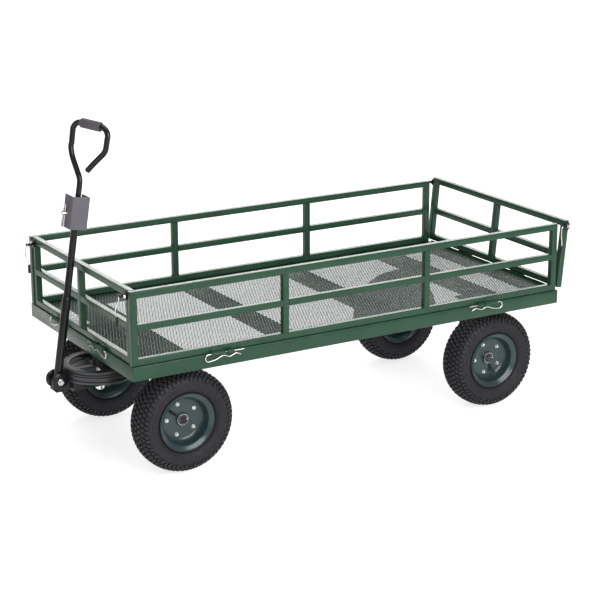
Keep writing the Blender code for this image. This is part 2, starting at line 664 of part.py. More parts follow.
def build_rear_axle(name, side, mats, cart):
    """A pressed fork under the deck with a stub axle through both cheeks."""
    y = WHEEL_BASE_HALF
    top = FRAME_UNDER + 0.004 - GAP
    outline = [(y - 0.045, top), (y - 0.030, WHEEL_RADIUS + 0.02)]
    outline += arc((y, WHEEL_RADIUS), 0.024, 200, 340, 8)
    outline += [(y + 0.030, WHEEL_RADIUS + 0.02), (y + 0.045, top)]
    solids = []
    for x in (0.165, 0.201):
        low, high = sorted((side * x, side * (x + 0.004)))
        solids.append(prism(outline, "x", low, high))
    low, high = sorted((side * 0.150, side * 0.220))
    solids.append(block((low, y - 0.045, top - 0.004), (high, y + 0.045, top)))
    low, high = sorted((side * 0.166, side * 0.204))
    solids.append(block((low, y + 0.020, WHEEL_RADIUS + 0.03), (high, y + 0.024, top - 0.002)))
    hole = cylinder((side * 0.1, y, WHEEL_RADIUS), (side * 0.3, y, WHEEL_RADIUS),
                    AXLE_RADIUS + GAP, 20)
    finish(f"rear_axle_fork_{name}", fuse(solids, [hole]), mats["paint"], cart)
    stub = fuse([cylinder((side * 0.158, y, WHEEL_RADIUS),
                          (side * (WHEEL_TRACK + AXLE_END), y, WHEEL_RADIUS), AXLE_RADIUS, 20),
                 cylinder((side * 0.155, y, WHEEL_RADIUS), (side * (0.165 - GAP), y, WHEEL_RADIUS),
                          0.015, 6)])
    finish(f"rear_stub_axle_{name}", stub, mats["steel"], cart)


# ---------------------------------------------------------------- handle
LOWER_TUBE = 0.0132
UPPER_TUBE = 0.0108
STEP_AT = 0.250
GRIP_ROD = 0.0088
GRIP_RADIUS = 0.0145


def build_tow_tube(mats, tongue):
    """The tow tube stands on its eye; its own z axis runs up the tube."""
    eye = cylinder((-0.0192, 0, 0), (0.0192, 0, 0), 0.0172, 24)
    stem = cylinder((0, 0, 0.004), (0, 0, STEP_AT), LOWER_TUBE, 20)
    taper = cylinder((0, 0, STEP_AT - 0.001), (0, 0, STEP_AT + 0.006), LOWER_TUBE, 20, UPPER_TUBE)
    upper = cylinder((0, 0, STEP_AT + 0.004), (0, 0, CLEVIS_BOTTOM - GAP), UPPER_TUBE, 20)
    hole = cylinder((-0.03, 0, 0), (0.03, 0, 0), 0.0064, 16)
    finish("tow_tube", fuse([eye, stem, taper, upper], [hole]), mats["black"], tongue)


def build_clevis(mats, tongue):
    """A channel closed at its foot: two cheeks carry the hitch pin, the web faces left."""
    half, wall = CLEVIS_SIZE / 2, 0.004
    box = block((-half, -half, CLEVIS_BOTTOM), (half, half, CLEVIS_TOP))
    inside = block((-half - 0.01, -half + wall, CLEVIS_BOTTOM + wall),
                   (half - wall, half - wall, CLEVIS_TOP + 0.01))
    hole = cylinder((0, -0.05, HITCH_PIN_AT), (0, 0.05, HITCH_PIN_AT), 0.0073, 16)
    finish("hitch_clevis", fuse([box], [inside, hole]), mats["clevis"], tongue)
    pin = 0.0070
    front, back = -half - 0.019, half + GAP
    shank = cylinder((0, front, HITCH_PIN_AT), (0, back + 0.003, HITCH_PIN_AT), pin, 16)
    head = cylinder((0, back, HITCH_PIN_AT), (0, back + 0.007, HITCH_PIN_AT), 0.0120, 16)
    leg_y = -half - 0.008
    cross = cylinder((0, leg_y, HITCH_PIN_AT - 0.02), (0, leg_y, HITCH_PIN_AT + 0.02), 0.0026, 10)
    finish("hitch_pin", fuse([shank, head], [cross]), mats["zinc"], tongue)
    seat = empty("hitch_clip_seat", (0, leg_y, HITCH_PIN_AT), parent=tongue)
    finish("hitch_clip", tube_along(hitch_clip(), CLIP_WIRE, 1), mats["zinc"], seat)


def hitch_clip():
    """A smaller hairpin, bow down, its straight leg through the pin's end."""
    bow = 0.0085
    points = [(0.0, 0.0, 0.026), (0.0, 0.0, 0.0), (0.0, 0.0, -0.026)]
    for x, z in arc((bow - 0.0005, -0.034), bow, 165, 375, 8):
        points.append((-x, 0.0, z))
    points += [(-0.0175, 0.0, -0.024), (-0.0120, 0.0, -0.012), (-0.0104, 0.0, 0.0),
               (-0.0120, 0.0, 0.008), (-0.0100, 0.0, 0.016), (-0.0096, 0.0, 0.021),
               (-0.0115, 0.0, 0.028)]
    return points


def loop_points():
    """The bent loop in its own plane: stem, left arm, grip, right arm and free end."""
    points = [(0.0, 0.006), (0.0, 0.060), (0.0, 0.092), (-0.004, 0.108), (-0.014, 0.124),
              (-0.040, 0.164)]
    points += arc((-0.014, 0.196), 0.036, 203, 165, 4)
    points += arc((-0.022, 0.240), 0.028, 172, 90, 6)
    points += arc((0.062, 0.242), 0.026, 90, -10, 7)
    points += [(0.0875, 0.222)]
    points += arc((0.064, 0.210), 0.023, 10, -42, 4)
    points += [(0.064, 0.1785), (0.023, 0.1310)]
    return points


def build_grip(mats, grip):
    """A bent bar whose eye turns on the hitch pin, with a foam sleeve on its cross piece."""
    turn = Matrix.Rotation(GRIP_TWIST, 4, "Z")
    bar = tube_along([turn @ Vector((u, 0, v)) for u, v in loop_points()], GRIP_ROD, 2)
    eye = cylinder((0, -0.0235, 0), (0, 0.0235, 0), 0.0140, 20)
    hole = cylinder((0, -0.03, 0), (0, 0.03, 0), 0.0073, 16)
    finish("grip_loop", fuse([bar, eye], [hole]), mats["black"], grip)
    length = 0.078
    sleeve = ring([(0, GRIP_ROD + GAP), (0, GRIP_RADIUS - 0.002), (0.002, GRIP_RADIUS),
                   (length - 0.002, GRIP_RADIUS), (length, GRIP_RADIUS - 0.002),
                   (length, GRIP_ROD + GAP)], 20)
    sleeve.transform(turn @ Matrix.Translation((-0.019, 0, 0.268)))
    finish("foam_grip", sleeve, mats["foam"], grip)


# ---------------------------------------------------------------- the whole cart
def build():
    clear_scene()
    mats = {
        "paint": material("green_paint", (0.028, 0.075, 0.052), 0.38, 0.0),
        "mesh": material("green_mesh", (0.030, 0.062, 0.048), 0.45, 0.0),
        "rim": material("rim_enamel", (0.035, 0.080, 0.078), 0.35, 0.0),
        "black": material("black_gloss_paint", (0.012, 0.012, 0.013), 0.25, 0.0),
        "clevis": material("grey_satin_paint", (0.085, 0.080, 0.092), 0.35, 0.0),
        "rubber": material("tyre_rubber", (0.022, 0.021, 0.023), 0.75, 0.0),
        "foam": material("foam_rubber", (0.045, 0.042, 0.044), 0.85, 0.0),
        "zinc": material("zinc_plate", (0.72, 0.72, 0.70), 0.28, 1.0),
        "steel": material("bare_steel", (0.42, 0.42, 0.43), 0.38, 1.0),
    }
    cart = empty("cart", (0, DECK_CENTRE_Y, 0))
    build_deck(mats["paint"], mats["mesh"], cart)
    for edge in ("left", "right", "front", "rear"):
        build_panel(edge, mats, cart)
    steer = empty("kingpin_axis", (0, KINGPIN_Y, 0), parent=cart)
    build_turntable(mats, cart, steer)
    build_yoke(mats, steer)
    build_front_beam(mats, cart)
    for label, side in (("left", 1), ("right", -1)):
        rod = empty(f"tie_rod_axis_{label}", (0, STEER_ARM, 0), parent=steer)
        build_tie_rod(label, side, mats, rod)
        pivot = (side * KNUCKLE_X, -WHEEL_BASE_HALF, 0)
        knuckle = empty(f"knuckle_axis_{label}", pivot, parent=cart)
        build_knuckle(label, side, mats, knuckle)
        centre = (side * (WHEEL_TRACK - KNUCKLE_X), 0, WHEEL_RADIUS)
        build_wheel(f"front_{label}", side, centre, mats, knuckle)
        build_rear_axle(label, side, mats, cart)
        centre = (side * WHEEL_TRACK, WHEEL_BASE_HALF, WHEEL_RADIUS)
        build_wheel(f"rear_{label}", side, centre, mats, cart)
    tongue = empty("handle_pivot_axis", (0, TONGUE_Y - KINGPIN_Y, TONGUE_Z),
                   (-TONGUE_LEAN, 0, 0), steer)
    build_tow_tube(mats, tongue)
    build_clevis(mats, tongue)
    grip = empty("grip_axis", (0, 0, HITCH_PIN_AT), parent=tongue)
    build_grip(mats, grip)


build()
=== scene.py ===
"""Looks of the garden tow cart: powder-coated tube, expanded-metal deck, knobby tyres, zinc clips.

Metres, +Z up, the handle end faces -Y and the left side is +X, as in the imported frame.
"""
import json
from math import atan, cos, pi, radians, sin, sqrt

import bmesh
import bpy
from mathutils import Matrix, Vector


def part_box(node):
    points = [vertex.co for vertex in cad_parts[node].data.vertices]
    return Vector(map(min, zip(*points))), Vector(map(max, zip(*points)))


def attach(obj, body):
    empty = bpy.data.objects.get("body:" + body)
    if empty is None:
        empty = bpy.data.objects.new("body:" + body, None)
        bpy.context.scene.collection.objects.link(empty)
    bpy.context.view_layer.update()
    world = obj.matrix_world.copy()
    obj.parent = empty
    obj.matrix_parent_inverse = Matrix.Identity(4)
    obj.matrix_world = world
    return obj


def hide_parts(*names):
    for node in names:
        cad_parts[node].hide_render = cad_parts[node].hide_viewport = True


# ---- sizes shared with the frame
PANEL_TUBE = 0.02
TUBE_ROUNDING = 0.0022
PANEL_HEIGHT = 0.222
MID_RAIL_HEIGHT = 0.113
PANEL_INNER, PANEL_OUTER = -0.0294, -0.0094  # faces from the hinge axis, upright panels
REAR_INNER, REAR_OUTER, REAR_FOOT = -0.008, 0.012, 0.0076
REAR_LEAN = radians(5.5)
KNUCKLE_RADIUS = 0.0056
CLIP_WIRE, CLIP_BOW = 0.0019, 0.011
HINGE_BOWS = {"side": 0.533, "end": 0.205}
PANEL_KNUCKLE = (0.067, 0.02)
DECK_KNUCKLE = (0.094, 0.071)
SHEET = 0.003
WELD_RIPPLE = 0.0022
LEDGE_WIDTH = 0.032
MITRE_CUT = 0.0002
TONGUE_LEAN = atan(0.1616)
HITCH_PIN_AT = 0.512
CLEVIS_BOTTOM, CLEVIS_TOP, CLEVIS_HALF = 0.467, 0.566, 0.0285
GRIP_TWIST = radians(23)

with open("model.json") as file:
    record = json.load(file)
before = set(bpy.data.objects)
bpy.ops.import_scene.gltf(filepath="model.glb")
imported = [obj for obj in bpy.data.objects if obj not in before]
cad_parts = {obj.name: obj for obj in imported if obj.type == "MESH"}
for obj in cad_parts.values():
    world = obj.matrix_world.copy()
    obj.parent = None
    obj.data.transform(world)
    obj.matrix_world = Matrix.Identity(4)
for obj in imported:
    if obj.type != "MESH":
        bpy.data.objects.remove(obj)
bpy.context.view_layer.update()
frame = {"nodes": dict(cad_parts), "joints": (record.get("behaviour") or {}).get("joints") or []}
JOINTS = {j["name"]: j for j in frame["joints"]}


def joint_at(name):
    return Vector(JOINTS[name]["pos_m"])


# ---- node helpers
def new_material(name):
    """A material with its node tree, shader and object coordinates."""
    mat = bpy.data.materials.new(name)
    mat.use_nodes = True
    tree = mat.node_tree
    at = tree.nodes.new("ShaderNodeTexCoord").outputs["Object"]
    return mat, tree, tree.nodes["Principled BSDF"], at


def feed(tree, node, values):
    """Fill a node's inputs: sockets are linked and anything else is a constant."""
    for name, value in values.items():
        if isinstance(value, bpy.types.NodeSocket):
            tree.links.new(value, node.inputs[name])
        else:
            node.inputs[name].default_value = value


def noise(tree, coord, scale, detail=4.0, roughness=0.55):
    made = tree.nodes.new("ShaderNodeTexNoise")
    feed(tree, made, {"Scale": scale, "Detail": detail, "Roughness": roughness, "Vector": coord})
    return made.outputs["Fac"]


def ramp(tree, value, stops):
    made = tree.nodes.new("ShaderNodeValToRGB")
    points = made.color_ramp.elements
    while len(points) < len(stops):
        points.new(0.5)
    for point, (at, colour) in zip(points, stops):
        point.position = at
        if isinstance(colour, (int, float)):
            colour = (colour, colour, colour)
        point.color = (*colour, 1.0)
    feed(tree, made, {"Fac": value})
    return made.outputs["Color"]


def mix(tree, factor, a, b):
    """Blend two colours, each a socket or a tuple."""
    made = tree.nodes.new("ShaderNodeMix")
    made.data_type = "RGBA"
    a, b = ((*c, 1.0) if isinstance(c, tuple) else c for c in (a, b))
    feed(tree, made, {"Factor": factor, "A": a, "B": b})
    return made.outputs["Result"]


def bump(tree, shader, layers):
    """Stack bump layers, each a (height socket, strength, distance)."""
    normal = None
    for height, strength, distance in layers:
        made = tree.nodes.new("ShaderNodeBump")
        feed(tree, made, {"Strength": strength, "Distance": distance, "Height": height})
        if normal is not None:
            feed(tree, made, {"Normal": normal})
        normal = made.outputs["Normal"]
    feed(tree, shader, {"Normal": normal})


# ---- materials
def scaled(colour, factor):
    return tuple(min(1.0, c * factor) for c in colour)


def powder_coat(name, colour, roughness, dust, peel, coat, shine):
    """Enamel with orange peel, uneven film and a little dust in patches."""
    mat, tree, shader, at = new_material(name)
    film = ramp(tree, noise(tree, at, 9.0, 5.0), [(0.3, scaled(colour, 0.8)),
                                                  (0.7, scaled(colour, 1.22))])
    grain = ramp(tree, noise(tree, at, 420.0, 2.0), [(0.35, 0.0), (0.75, 1.0)])
    speckled = mix(tree, grain, film, scaled(colour, 1.22))
    patches = ramp(tree, noise(tree, at, 17.0, 6.0, 0.7), [(0.52, 0.0), (0.82, dust)])
    base = mix(tree, patches, speckled, tuple(0.8 * c + 0.03 for c in colour))
    rough = ramp(tree, noise(tree, at, 30.0, 5.0), [(0.3, roughness * 0.82),
                                                    (0.75, roughness * 1.3)])
    feed(tree, shader, {"Base Color": base, "Roughness": rough, "Specular IOR Level": shine,
                        "Coat Weight": coat, "Coat Roughness": 0.16, "IOR": 1.5})
    bump(tree, shader, [(noise(tree, at, 260.0, 2.0), peel, 0.0006),
                        (noise(tree, at, 38.0, 3.0), 0.1, 0.002)])
    return mat


def rubber(name, colour, dust_and_highlight):
    mat, tree, shader, at = new_material(name)
    base = ramp(tree, noise(tree, at, 14.0, 6.0, 0.65), [(0.32, scaled(colour, 0.8)),
                                                         (0.72, scaled(colour, 1.35))])
    # lighter patches of dust; where their amount is high, as on the tread, they also act as
    # painted highlight on the knobs
    fine = ramp(tree, noise(tree, at, 190.0, 4.0, 0.7), [(0.45, 0.0), (0.8, dust_and_highlight)])
    base = mix(tree, fine, base, (0.036, 0.034, 0.036))
    rough = ramp(tree, noise(tree, at, 60.0, 5.0), [(0.3, 0.52), (0.75, 0.8)])
    feed(tree, shader, {"Base Color": base, "Roughness": rough, "Specular IOR Level": 0.32})
    bump(tree, shader, [(noise(tree, at, 700.0, 2.0), 0.25, 0.0004),
                        (noise(tree, at, 55.0, 4.0), 0.2, 0.0015)])
    return mat


def foam(name):
    mat, tree, shader, at = new_material(name)
    cells = tree.nodes.new("ShaderNodeTexVoronoi")
    feed(tree, cells, {"Scale": 900.0, "Vector": at})
    tone = ramp(tree, noise(tree, at, 45.0, 5.0), [(0.3, (0.046, 0.043, 0.046)),
                                                   (0.75, (0.078, 0.072, 0.076))])
    rough = ramp(tree, noise(tree, at, 80.0, 4.0), [(0.3, 0.78), (0.7, 0.95)])
    feed(tree, shader, {"Base Color": tone, "Roughness": rough, "Sheen Weight": 0.15,
                        "Sheen Roughness": 0.5})
    bump(tree, shader, [(cells.outputs["Distance"], 0.45, 0.0006)])
    return mat


def plated(name, colour, roughness, tint):
    """Zinc plate or bare steel: cloudy metal with duller spots."""
    mat, tree, shader, at = new_material(name)
    cloud = ramp(tree, noise(tree, at, 70.0, 6.0, 0.65), [(0.3, scaled(colour, 0.72)),
                                                          (0.72, colour)])
    spots = ramp(tree, noise(tree, at, 240.0, 4.0, 0.75), [(0.62, 0.0), (0.86, 0.6)])
    base = mix(tree, spots, cloud, tint)
    rough = ramp(tree, noise(tree, at, 120.0, 5.0), [(0.3, roughness * 0.75),
                                                     (0.75, roughness * 1.45)])
    feed(tree, shader, {"Base Color": base, "Roughness": rough, "Metallic": 1.0})
    bump(tree, shader, [(noise(tree, at, 520.0, 3.0), 0.12, 0.0004)])
    return mat


# name, colour, roughness, dust, peel, coat, shine
COATS = {
    "green": ("green_powder_coat", (0.014, 0.047, 0.026), 0.26, 0.1, 0.3, 0.03, 0.25),
    "under": ("green_underside_coat", (0.011, 0.04, 0.024), 0.6, 0.1, 0.3, 0.0, 0.05),
    # the mesh gets a lighter, greyer copy of the green paint: painted highlight standing in for
    # the top light and gloss on its strands
    "mesh": ("mesh_coat_with_painted_highlight", (0.052, 0.07, 0.06), 0.34, 0.2, 0.2, 0.0, 0.22),
    "rim": ("teal_rim_enamel", (0.018, 0.035, 0.037), 0.24, 0.1, 0.25, 0.1, 0.4),
    "black": ("black_gloss_coat", (0.006, 0.006, 0.007), 0.22, 0.06, 0.25, 0.05, 0.3),
    # the turntable races get a lighter copy of the black coat: painted sheen standing in for the
    # reflection on their top faces; the higher specular level is real
    "race": ("race_coat_with_painted_sheen", (0.026, 0.026, 0.028), 0.34, 0.25, 0.3, 0.1, 0.55),
    "clevis": ("clevis_satin_coat", (0.112, 0.107, 0.12), 0.4, 0.2, 0.45, 0.0, 0.05),
    "vinyl": ("black_dipped_vinyl", (0.009, 0.009, 0.01), 0.42, 0.08, 0.15, 0.05, 0.3),
}
MATS = {look: powder_coat(*values) for look, values in COATS.items()}
MATS.update({
    "tyre": rubber("tyre_rubber", (0.008, 0.0074, 0.0095), 0.3),
    # the tread's knobs get a lighter copy of the tyre rubber with heavy dust patches: painted
    # highlight on the knobs, partly real dust
    "tread": rubber("tread_rubber_with_painted_highlight", (0.019, 0.0178, 0.0205), 0.8),
    "foam": foam("foam_grip_rubber"),
    "zinc": plated("bright_zinc", (0.8, 0.8, 0.77), 0.24, (0.5, 0.49, 0.45)),
    "steel": plated("machined_steel", (0.46, 0.46, 0.47), 0.34, (0.26, 0.24, 0.22)),
    "dark": plated("dark_oiled_steel", (0.075, 0.075, 0.08), 0.36, (0.04, 0.036, 0.032)),
})


# ---- mesh helpers
def piece(name, bm, look, body, replaces=(), smooth=40, place=None):
    """Turn a bmesh into a finished piece that rides on a body."""
    if place is not None:
        bm.transform(place)
    bmesh.ops.recalc_face_normals(bm, faces=bm.faces)
    mesh = bpy.data.meshes.new(name)
    bm.to_mesh(mesh)
    bm.free()
    mesh.materials.append(MATS[look])
    mesh.shade_smooth()
    mesh.set_sharp_from_angle(angle=radians(smooth))
    ob = bpy.data.objects.new(name, mesh)
    bpy.context.collection.objects.link(ob)
    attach(ob, body)
    if replaces:
        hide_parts(*replaces)
    return ob


def absorb(bm, other, place=None):
    """Add another bmesh's faces to bm."""
    if place is not None:
        other.transform(place)
    mesh = bpy.data.meshes.new("part")
    other.to_mesh(mesh)
    other.free()
    bm.from_mesh(mesh)
    bpy.data.meshes.remove(mesh)


def hexahedron(corners, edge=0.0012):
    """A six-sided solid from eight corners, low z ring then high z ring, with rounded edges."""
    bm = bmesh.new()
    v = [bm.verts.new(c) for c in corners]
    for quad in ((0, 3, 2, 1), (4, 5, 6, 7), (0, 1, 5, 4), (1, 2, 6, 5), (2, 3, 7, 6),
                 (3, 0, 4, 7)):
        bm.faces.new([v[i] for i in quad])
    bmesh.ops.recalc_face_normals(bm, faces=bm.faces)
    if edge > 0:
        bmesh.ops.bevel(bm, geom=bm.edges[:], offset=edge, segments=2, profile=0.5,
                        affect="EDGES", clamp_overlap=True)
    return bm


def box_corners(low, high):
    (x0, y0, z0), (x1, y1, z1) = low, high
    return [(x0, y0, z0), (x1, y0, z0), (x1, y1, z0), (x0, y1, z0),
            (x0, y0, z1), (x1, y0, z1), (x1, y1, z1), (x0, y1, z1)]


def box(low, high, edge=0.0012):
    return hexahedron(box_corners(low, high), edge)


def shift(x, y, z):
    return Matrix.Translation((x, y, z))


def oriented(axis, along, across, up):
    """A point given along an axis and in the plane across it."""
    return {"x": (along, across, up), "y": (up, along, across), "z": (across, up, along)}[axis]


def lathe(profile, sides=48, axis="x"):
    """Turn a closed profile of (along, radius) points about an axis."""
    bm = bmesh.new()
    rows = []
    for i in range(sides):
        a = 2 * pi * i / sides
        c, s = cos(a), sin(a)
        rows.append([bm.verts.new(oriented(axis, u, r * c, r * s)) for u, r in profile])
    n = len(profile)
    for i in range(sides):
        here, there = rows[i], rows[(i + 1) % sides]
        for k in range(n):
            m = (k + 1) % n
            bm.faces.new((here[k], here[m], there[m], there[k]))
    return bm


def skin(bm, rings):
    """Close a row of rings into one tube with flat ends; the two end faces are returned."""
    sides = len(rings[0])
    for low, high in zip(rings, rings[1:]):
        for i in range(sides):
            j = (i + 1) % sides
            bm.faces.new((low[i], low[j], high[j], high[i]))
    return [bm.faces.new(list(reversed(rings[0]))), bm.faces.new(rings[-1])]


def rod(start, end, radius, sides=24, edge=0.0006):
    """A solid round bar with chamfered ends, from start to end."""
    start, end = Vector(start), Vector(end)
    length = (end - start).length
    edge = min(edge, radius * 0.5, length * 0.3)
    bm = bmesh.new()
    rings = []
    for u, r in ((0, radius - edge), (edge, radius),
                 (length - edge, radius), (length, radius - edge)):
        rings.append([bm.verts.new((r * cos(2 * pi * i / sides), r * sin(2 * pi * i / sides), u))
                      for i in range(sides)])
    skin(bm, rings)
    turn = (end - start).to_track_quat("Z", "Y").to_matrix().to_4x4()
    bm.transform(Matrix.Translation(start) @ turn)
    return bm


def smooth_path(points, per):
    """Catmull-Rom through the points."""
    pts = [Vector(p) for p in points]
    out = []
    last = len(pts) - 1
    for i in range(last):
        a = pts[max(i - 1, 0)]
        b, c = pts[i], pts[i + 1]
        d = pts[min(i + 2, last)]
        for k in range(per):
            t = k / per
            out.append(0.5 * ((2 * b) + (c - a) * t + (2 * a - 5 * b + 4 * c - d) * t * t
                              + (3 * b - a - 3 * c + d) * t ** 3))
    out.append(pts[-1])
    return out


def ring_round(bm, centre, along, normal, radius, sides):
    """A ring of vertices round a centre, across the given direction."""
    across = along.cross(normal)
    ring = []
    for k in range(sides):
        a = 2 * pi * k / sides
        ring.append(bm.verts.new(centre + (normal * cos(a) + across * sin(a)) * radius))
    return ring


def wire(points, radius, sides):
    """A round bar along a path, by parallel transport, with rounded ends."""
    pts = [Vector(p) for p in points]
    bm = bmesh.new()
    tangent = (pts[1] - pts[0]).normalized()
    normal = tangent.orthogonal().normalized()
    rings = []
    last = len(pts) - 1
    for i, p in enumerate(pts):
        levels = [(0.0, 1.0)]
        if i == 0:
            t = (pts[1] - pts[0]).normalized()
            levels = [(0.0, 0.55), (0.35, 1.0)]
        elif i == last:
            t = (pts[last] - pts[last - 1]).normalized()
            levels = [(-0.35, 1.0), (0.0, 0.55)]
        else:
            t = ((pts[i + 1] - p).normalized() + (p - pts[i - 1]).normalized()).normalized()
        normal = (tangent.rotation_difference(t) @ normal).normalized()
        tangent = t
        for back, size in levels:
            rings.append(ring_round(bm, p + t * back * radius, t, normal, radius * size, sides))
    skin(bm, rings)
    return bm


def weld_bead(start, end, radius):
    """A rippled fillet of weld metal between two points."""
    start, end = Vector(start), Vector(end)
    last = 2 * max(4, int((end - start).length / WELD_RIPPLE))
    bm = bmesh.new()
    along = (end - start).normalized()
    normal = along.orthogonal().normalized()
    rings = []
    for i in range(last + 1):
        size = radius * (1.0 if i % 2 else 0.84)
        if i in (0, last):
            size = radius * 0.4
        rings.append(ring_round(bm, start.lerp(end, i / last), along, normal, size, 8))
    skin(bm, rings)
    return bm


def hex_head(radius, height, axis="x"):
    """A bolt head on a washer, rising along the axis from zero."""
    bm = lathe([(0, 0.0001), (0, radius * 1.32), (height * 0.16, radius * 1.3),
                (height * 0.2, radius * 1.25), (height * 0.2, 0.0001)], 28, axis)
    head = bmesh.new()
    rings = []
    for u, r in ((height * 0.2, radius), (height * 0.8, radius), (height, radius * 0.86)):
        rings.append([head.verts.new(oriented(axis, u, r * cos(pi * i / 3), r * sin(pi * i / 3)))
                      for i in range(6)])
    skin(head, rings)
    absorb(bm, head)
    return bm


def arc(centre, radius, start, end, steps):
    out = []
    for i in range(steps + 1):
        a = radians(start + (end - start) * i / steps)
        out.append((centre[0] + radius * cos(a), centre[1] + radius * sin(a)))
    return out


# ---- edges of the deck
EDGES = {"left": -pi / 2, "right": pi / 2, "front": pi, "rear": 0.0}


def edge_kind(edge):
    return "side" if edge in ("left", "right") else "end"


def edge_place(edge):
    """Frame of an edge's hinge: x along it, y outwards, z up, origin on the axis."""
    at = joint_at(f"{edge}_panel_fold")
    if edge_kind(edge) == "side":
        at.y = deck_centre_y
    return Matrix.Translation(at) @ Matrix.Rotation(EDGES[edge], 4, "Z")


def swing_place(edge):
    place = edge_place(edge)
    if edge == "rear":
        place = place @ Matrix.Rotation(-REAR_LEAN, 4, "X")
    return place


front_axis, rear_axis = joint_at("front_panel_fold"), joint_at("rear_panel_fold")
deck_centre_y = (front_axis.y + rear_axis.y) / 2
HINGE_OFFSET = 0.006
HALF_L = (rear_axis.y - front_axis.y) / 2 - HINGE_OFFSET
HALF_W = joint_at("left_panel_fold").x - HINGE_OFFSET
DECK_TOP = front_axis.z
FRAME_UNDER = DECK_TOP - 0.043
LEDGE_TOP = DECK_TOP - 0.0033


# ---- deck
def mitred_plate(half_x, half_y, z0, z1, inset0, inset1, edge):
    """Four plates round a rectangle, mitred at the corners; inset0 and inset1 are their depths."""
    bm = bmesh.new()
    for k in range(4):
        turn = Matrix.Rotation(k * pi / 2, 4, "Z")
        along, out = (half_x, half_y) if k % 2 == 0 else (half_y, half_x)
        near, far = along - inset0 - MITRE_CUT, along - inset1 - MITRE_CUT
        corners = []
        for z in (z0, z1):
            corners += [(-near, -out + inset0, z), (near, -out + inset0, z),
                        (far, -out + inset1, z), (-far, -out + inset1, z)]
        absorb(bm, hexahedron(corners, edge), turn)
    return bm


def channel(y, width):
    """A cross-member: web on top and two flanges, with bent edges."""
    bm = bmesh.new()
    low, high = y - width / 2, y + width / 2
    reach = HALF_W - SHEET - 0.0005
    top = LEDGE_TOP - SHEET - 0.0003
    floor = FRAME_UNDER + 0.004
    absorb(bm, box((-reach, low, top - SHEET), (reach, high, top), 0.001))
    for y0 in (low, high - SHEET):
        absorb(bm, box((-reach, y0, floor), (reach, y0 + SHEET, top - 0.0006), 0.001))
    return bm


CROSS_MEMBERS = ((-0.594, 0.088), (-0.205, 0.046), (0.175, 0.046), (0.565, 0.052))  # place, width


def build_cross_members():
    bm = bmesh.new()
    for y, width in CROSS_MEMBERS:
        absorb(bm, channel(y + deck_centre_y, width))
    piece("cross_members", bm, "under", "root")


def deck_knuckle(edge):
    bm = bmesh.new()
    kind = edge_kind(edge)
    for side in (-1, 1):
        ends = sorted(side * (HINGE_BOWS[kind] - back) for back in DECK_KNUCKLE)
        absorb(bm, knuckle_tube(ends[0], ends[1]))
        absorb(bm, box((ends[0] + 0.0005, -HINGE_OFFSET - 0.0008, -0.0054),
                       (ends[1] - 0.0005, -0.0034, -0.0008), 0.0008))
        absorb(bm, weld_bead((ends[0] + 0.001, -HINGE_OFFSET + 0.0006, -0.0062),
                             (ends[1] - 0.001, -HINGE_OFFSET + 0.0006, -0.0062), 0.0012))
    bm.transform(edge_place(edge))
    return bm


def knuckle_tube(first, last):
    """A hinge barrel with an open bore."""
    inner, outer, e = CLIP_WIRE + 0.0008, KNUCKLE_RADIUS, 0.0005
    profile = [(first, inner + e), (first, outer - e), (first + e, outer), (last - e, outer),
               (last, outer - e), (last, inner + e), (last - e, inner), (first + e, inner)]
    return lathe(profile, 28, "x")


CARRIER_HALF, CARRIER_FRONT, CARRIER_BACK = 0.085, -0.7582, -0.545
TAIL_LIP, TAIL_LIP_END = 0.0068, 0.03


def build_deck():
    """Apron, inner ledge, the carrier over the turntable, hinge barrels and the tail's lip."""
    bm = mitred_plate(HALF_W, HALF_L, FRAME_UNDER, DECK_TOP, 0.0, SHEET, 0.0011)
    absorb(bm, mitred_plate(HALF_W - SHEET, HALF_L - SHEET, LEDGE_TOP - SHEET, LEDGE_TOP, 0.0002,
                            LEDGE_WIDTH - SHEET, 0.0006))
    bm.transform(shift(0, deck_centre_y, 0))
    half, front, back = CARRIER_HALF, deck_centre_y + CARRIER_FRONT, deck_centre_y + CARRIER_BACK
    for side in (-1, 1):
        x0, x1 = sorted((side * half, side * (half - SHEET)))
        absorb(bm, box((x0, front, FRAME_UNDER + 0.0008), (x1, back, LEDGE_TOP - SHEET - 0.0005)))
    absorb(bm, box((-half, front, FRAME_UNDER), (half, back, FRAME_UNDER + SHEET)))
    for edge in EDGES:
        absorb(bm, deck_knuckle(edge))
    reach, tail = HALF_W - TAIL_LIP_END, HALF_L + deck_centre_y
    absorb(bm, box((-reach, tail - SHEET, DECK_TOP - 0.001), (reach, tail, DECK_TOP + TAIL_LIP)))
    piece("deck_frame_look", bm, "green", "root", ["deck_frame"])


LONG_PITCH, SHORT_PITCH = 0.022, 0.0098
BOND, STRAND, STRAND_TILT = 0.0034, 0.0013, -0.0007
MESH_THICKNESS, MESH_MARGIN = 0.001, 0.001


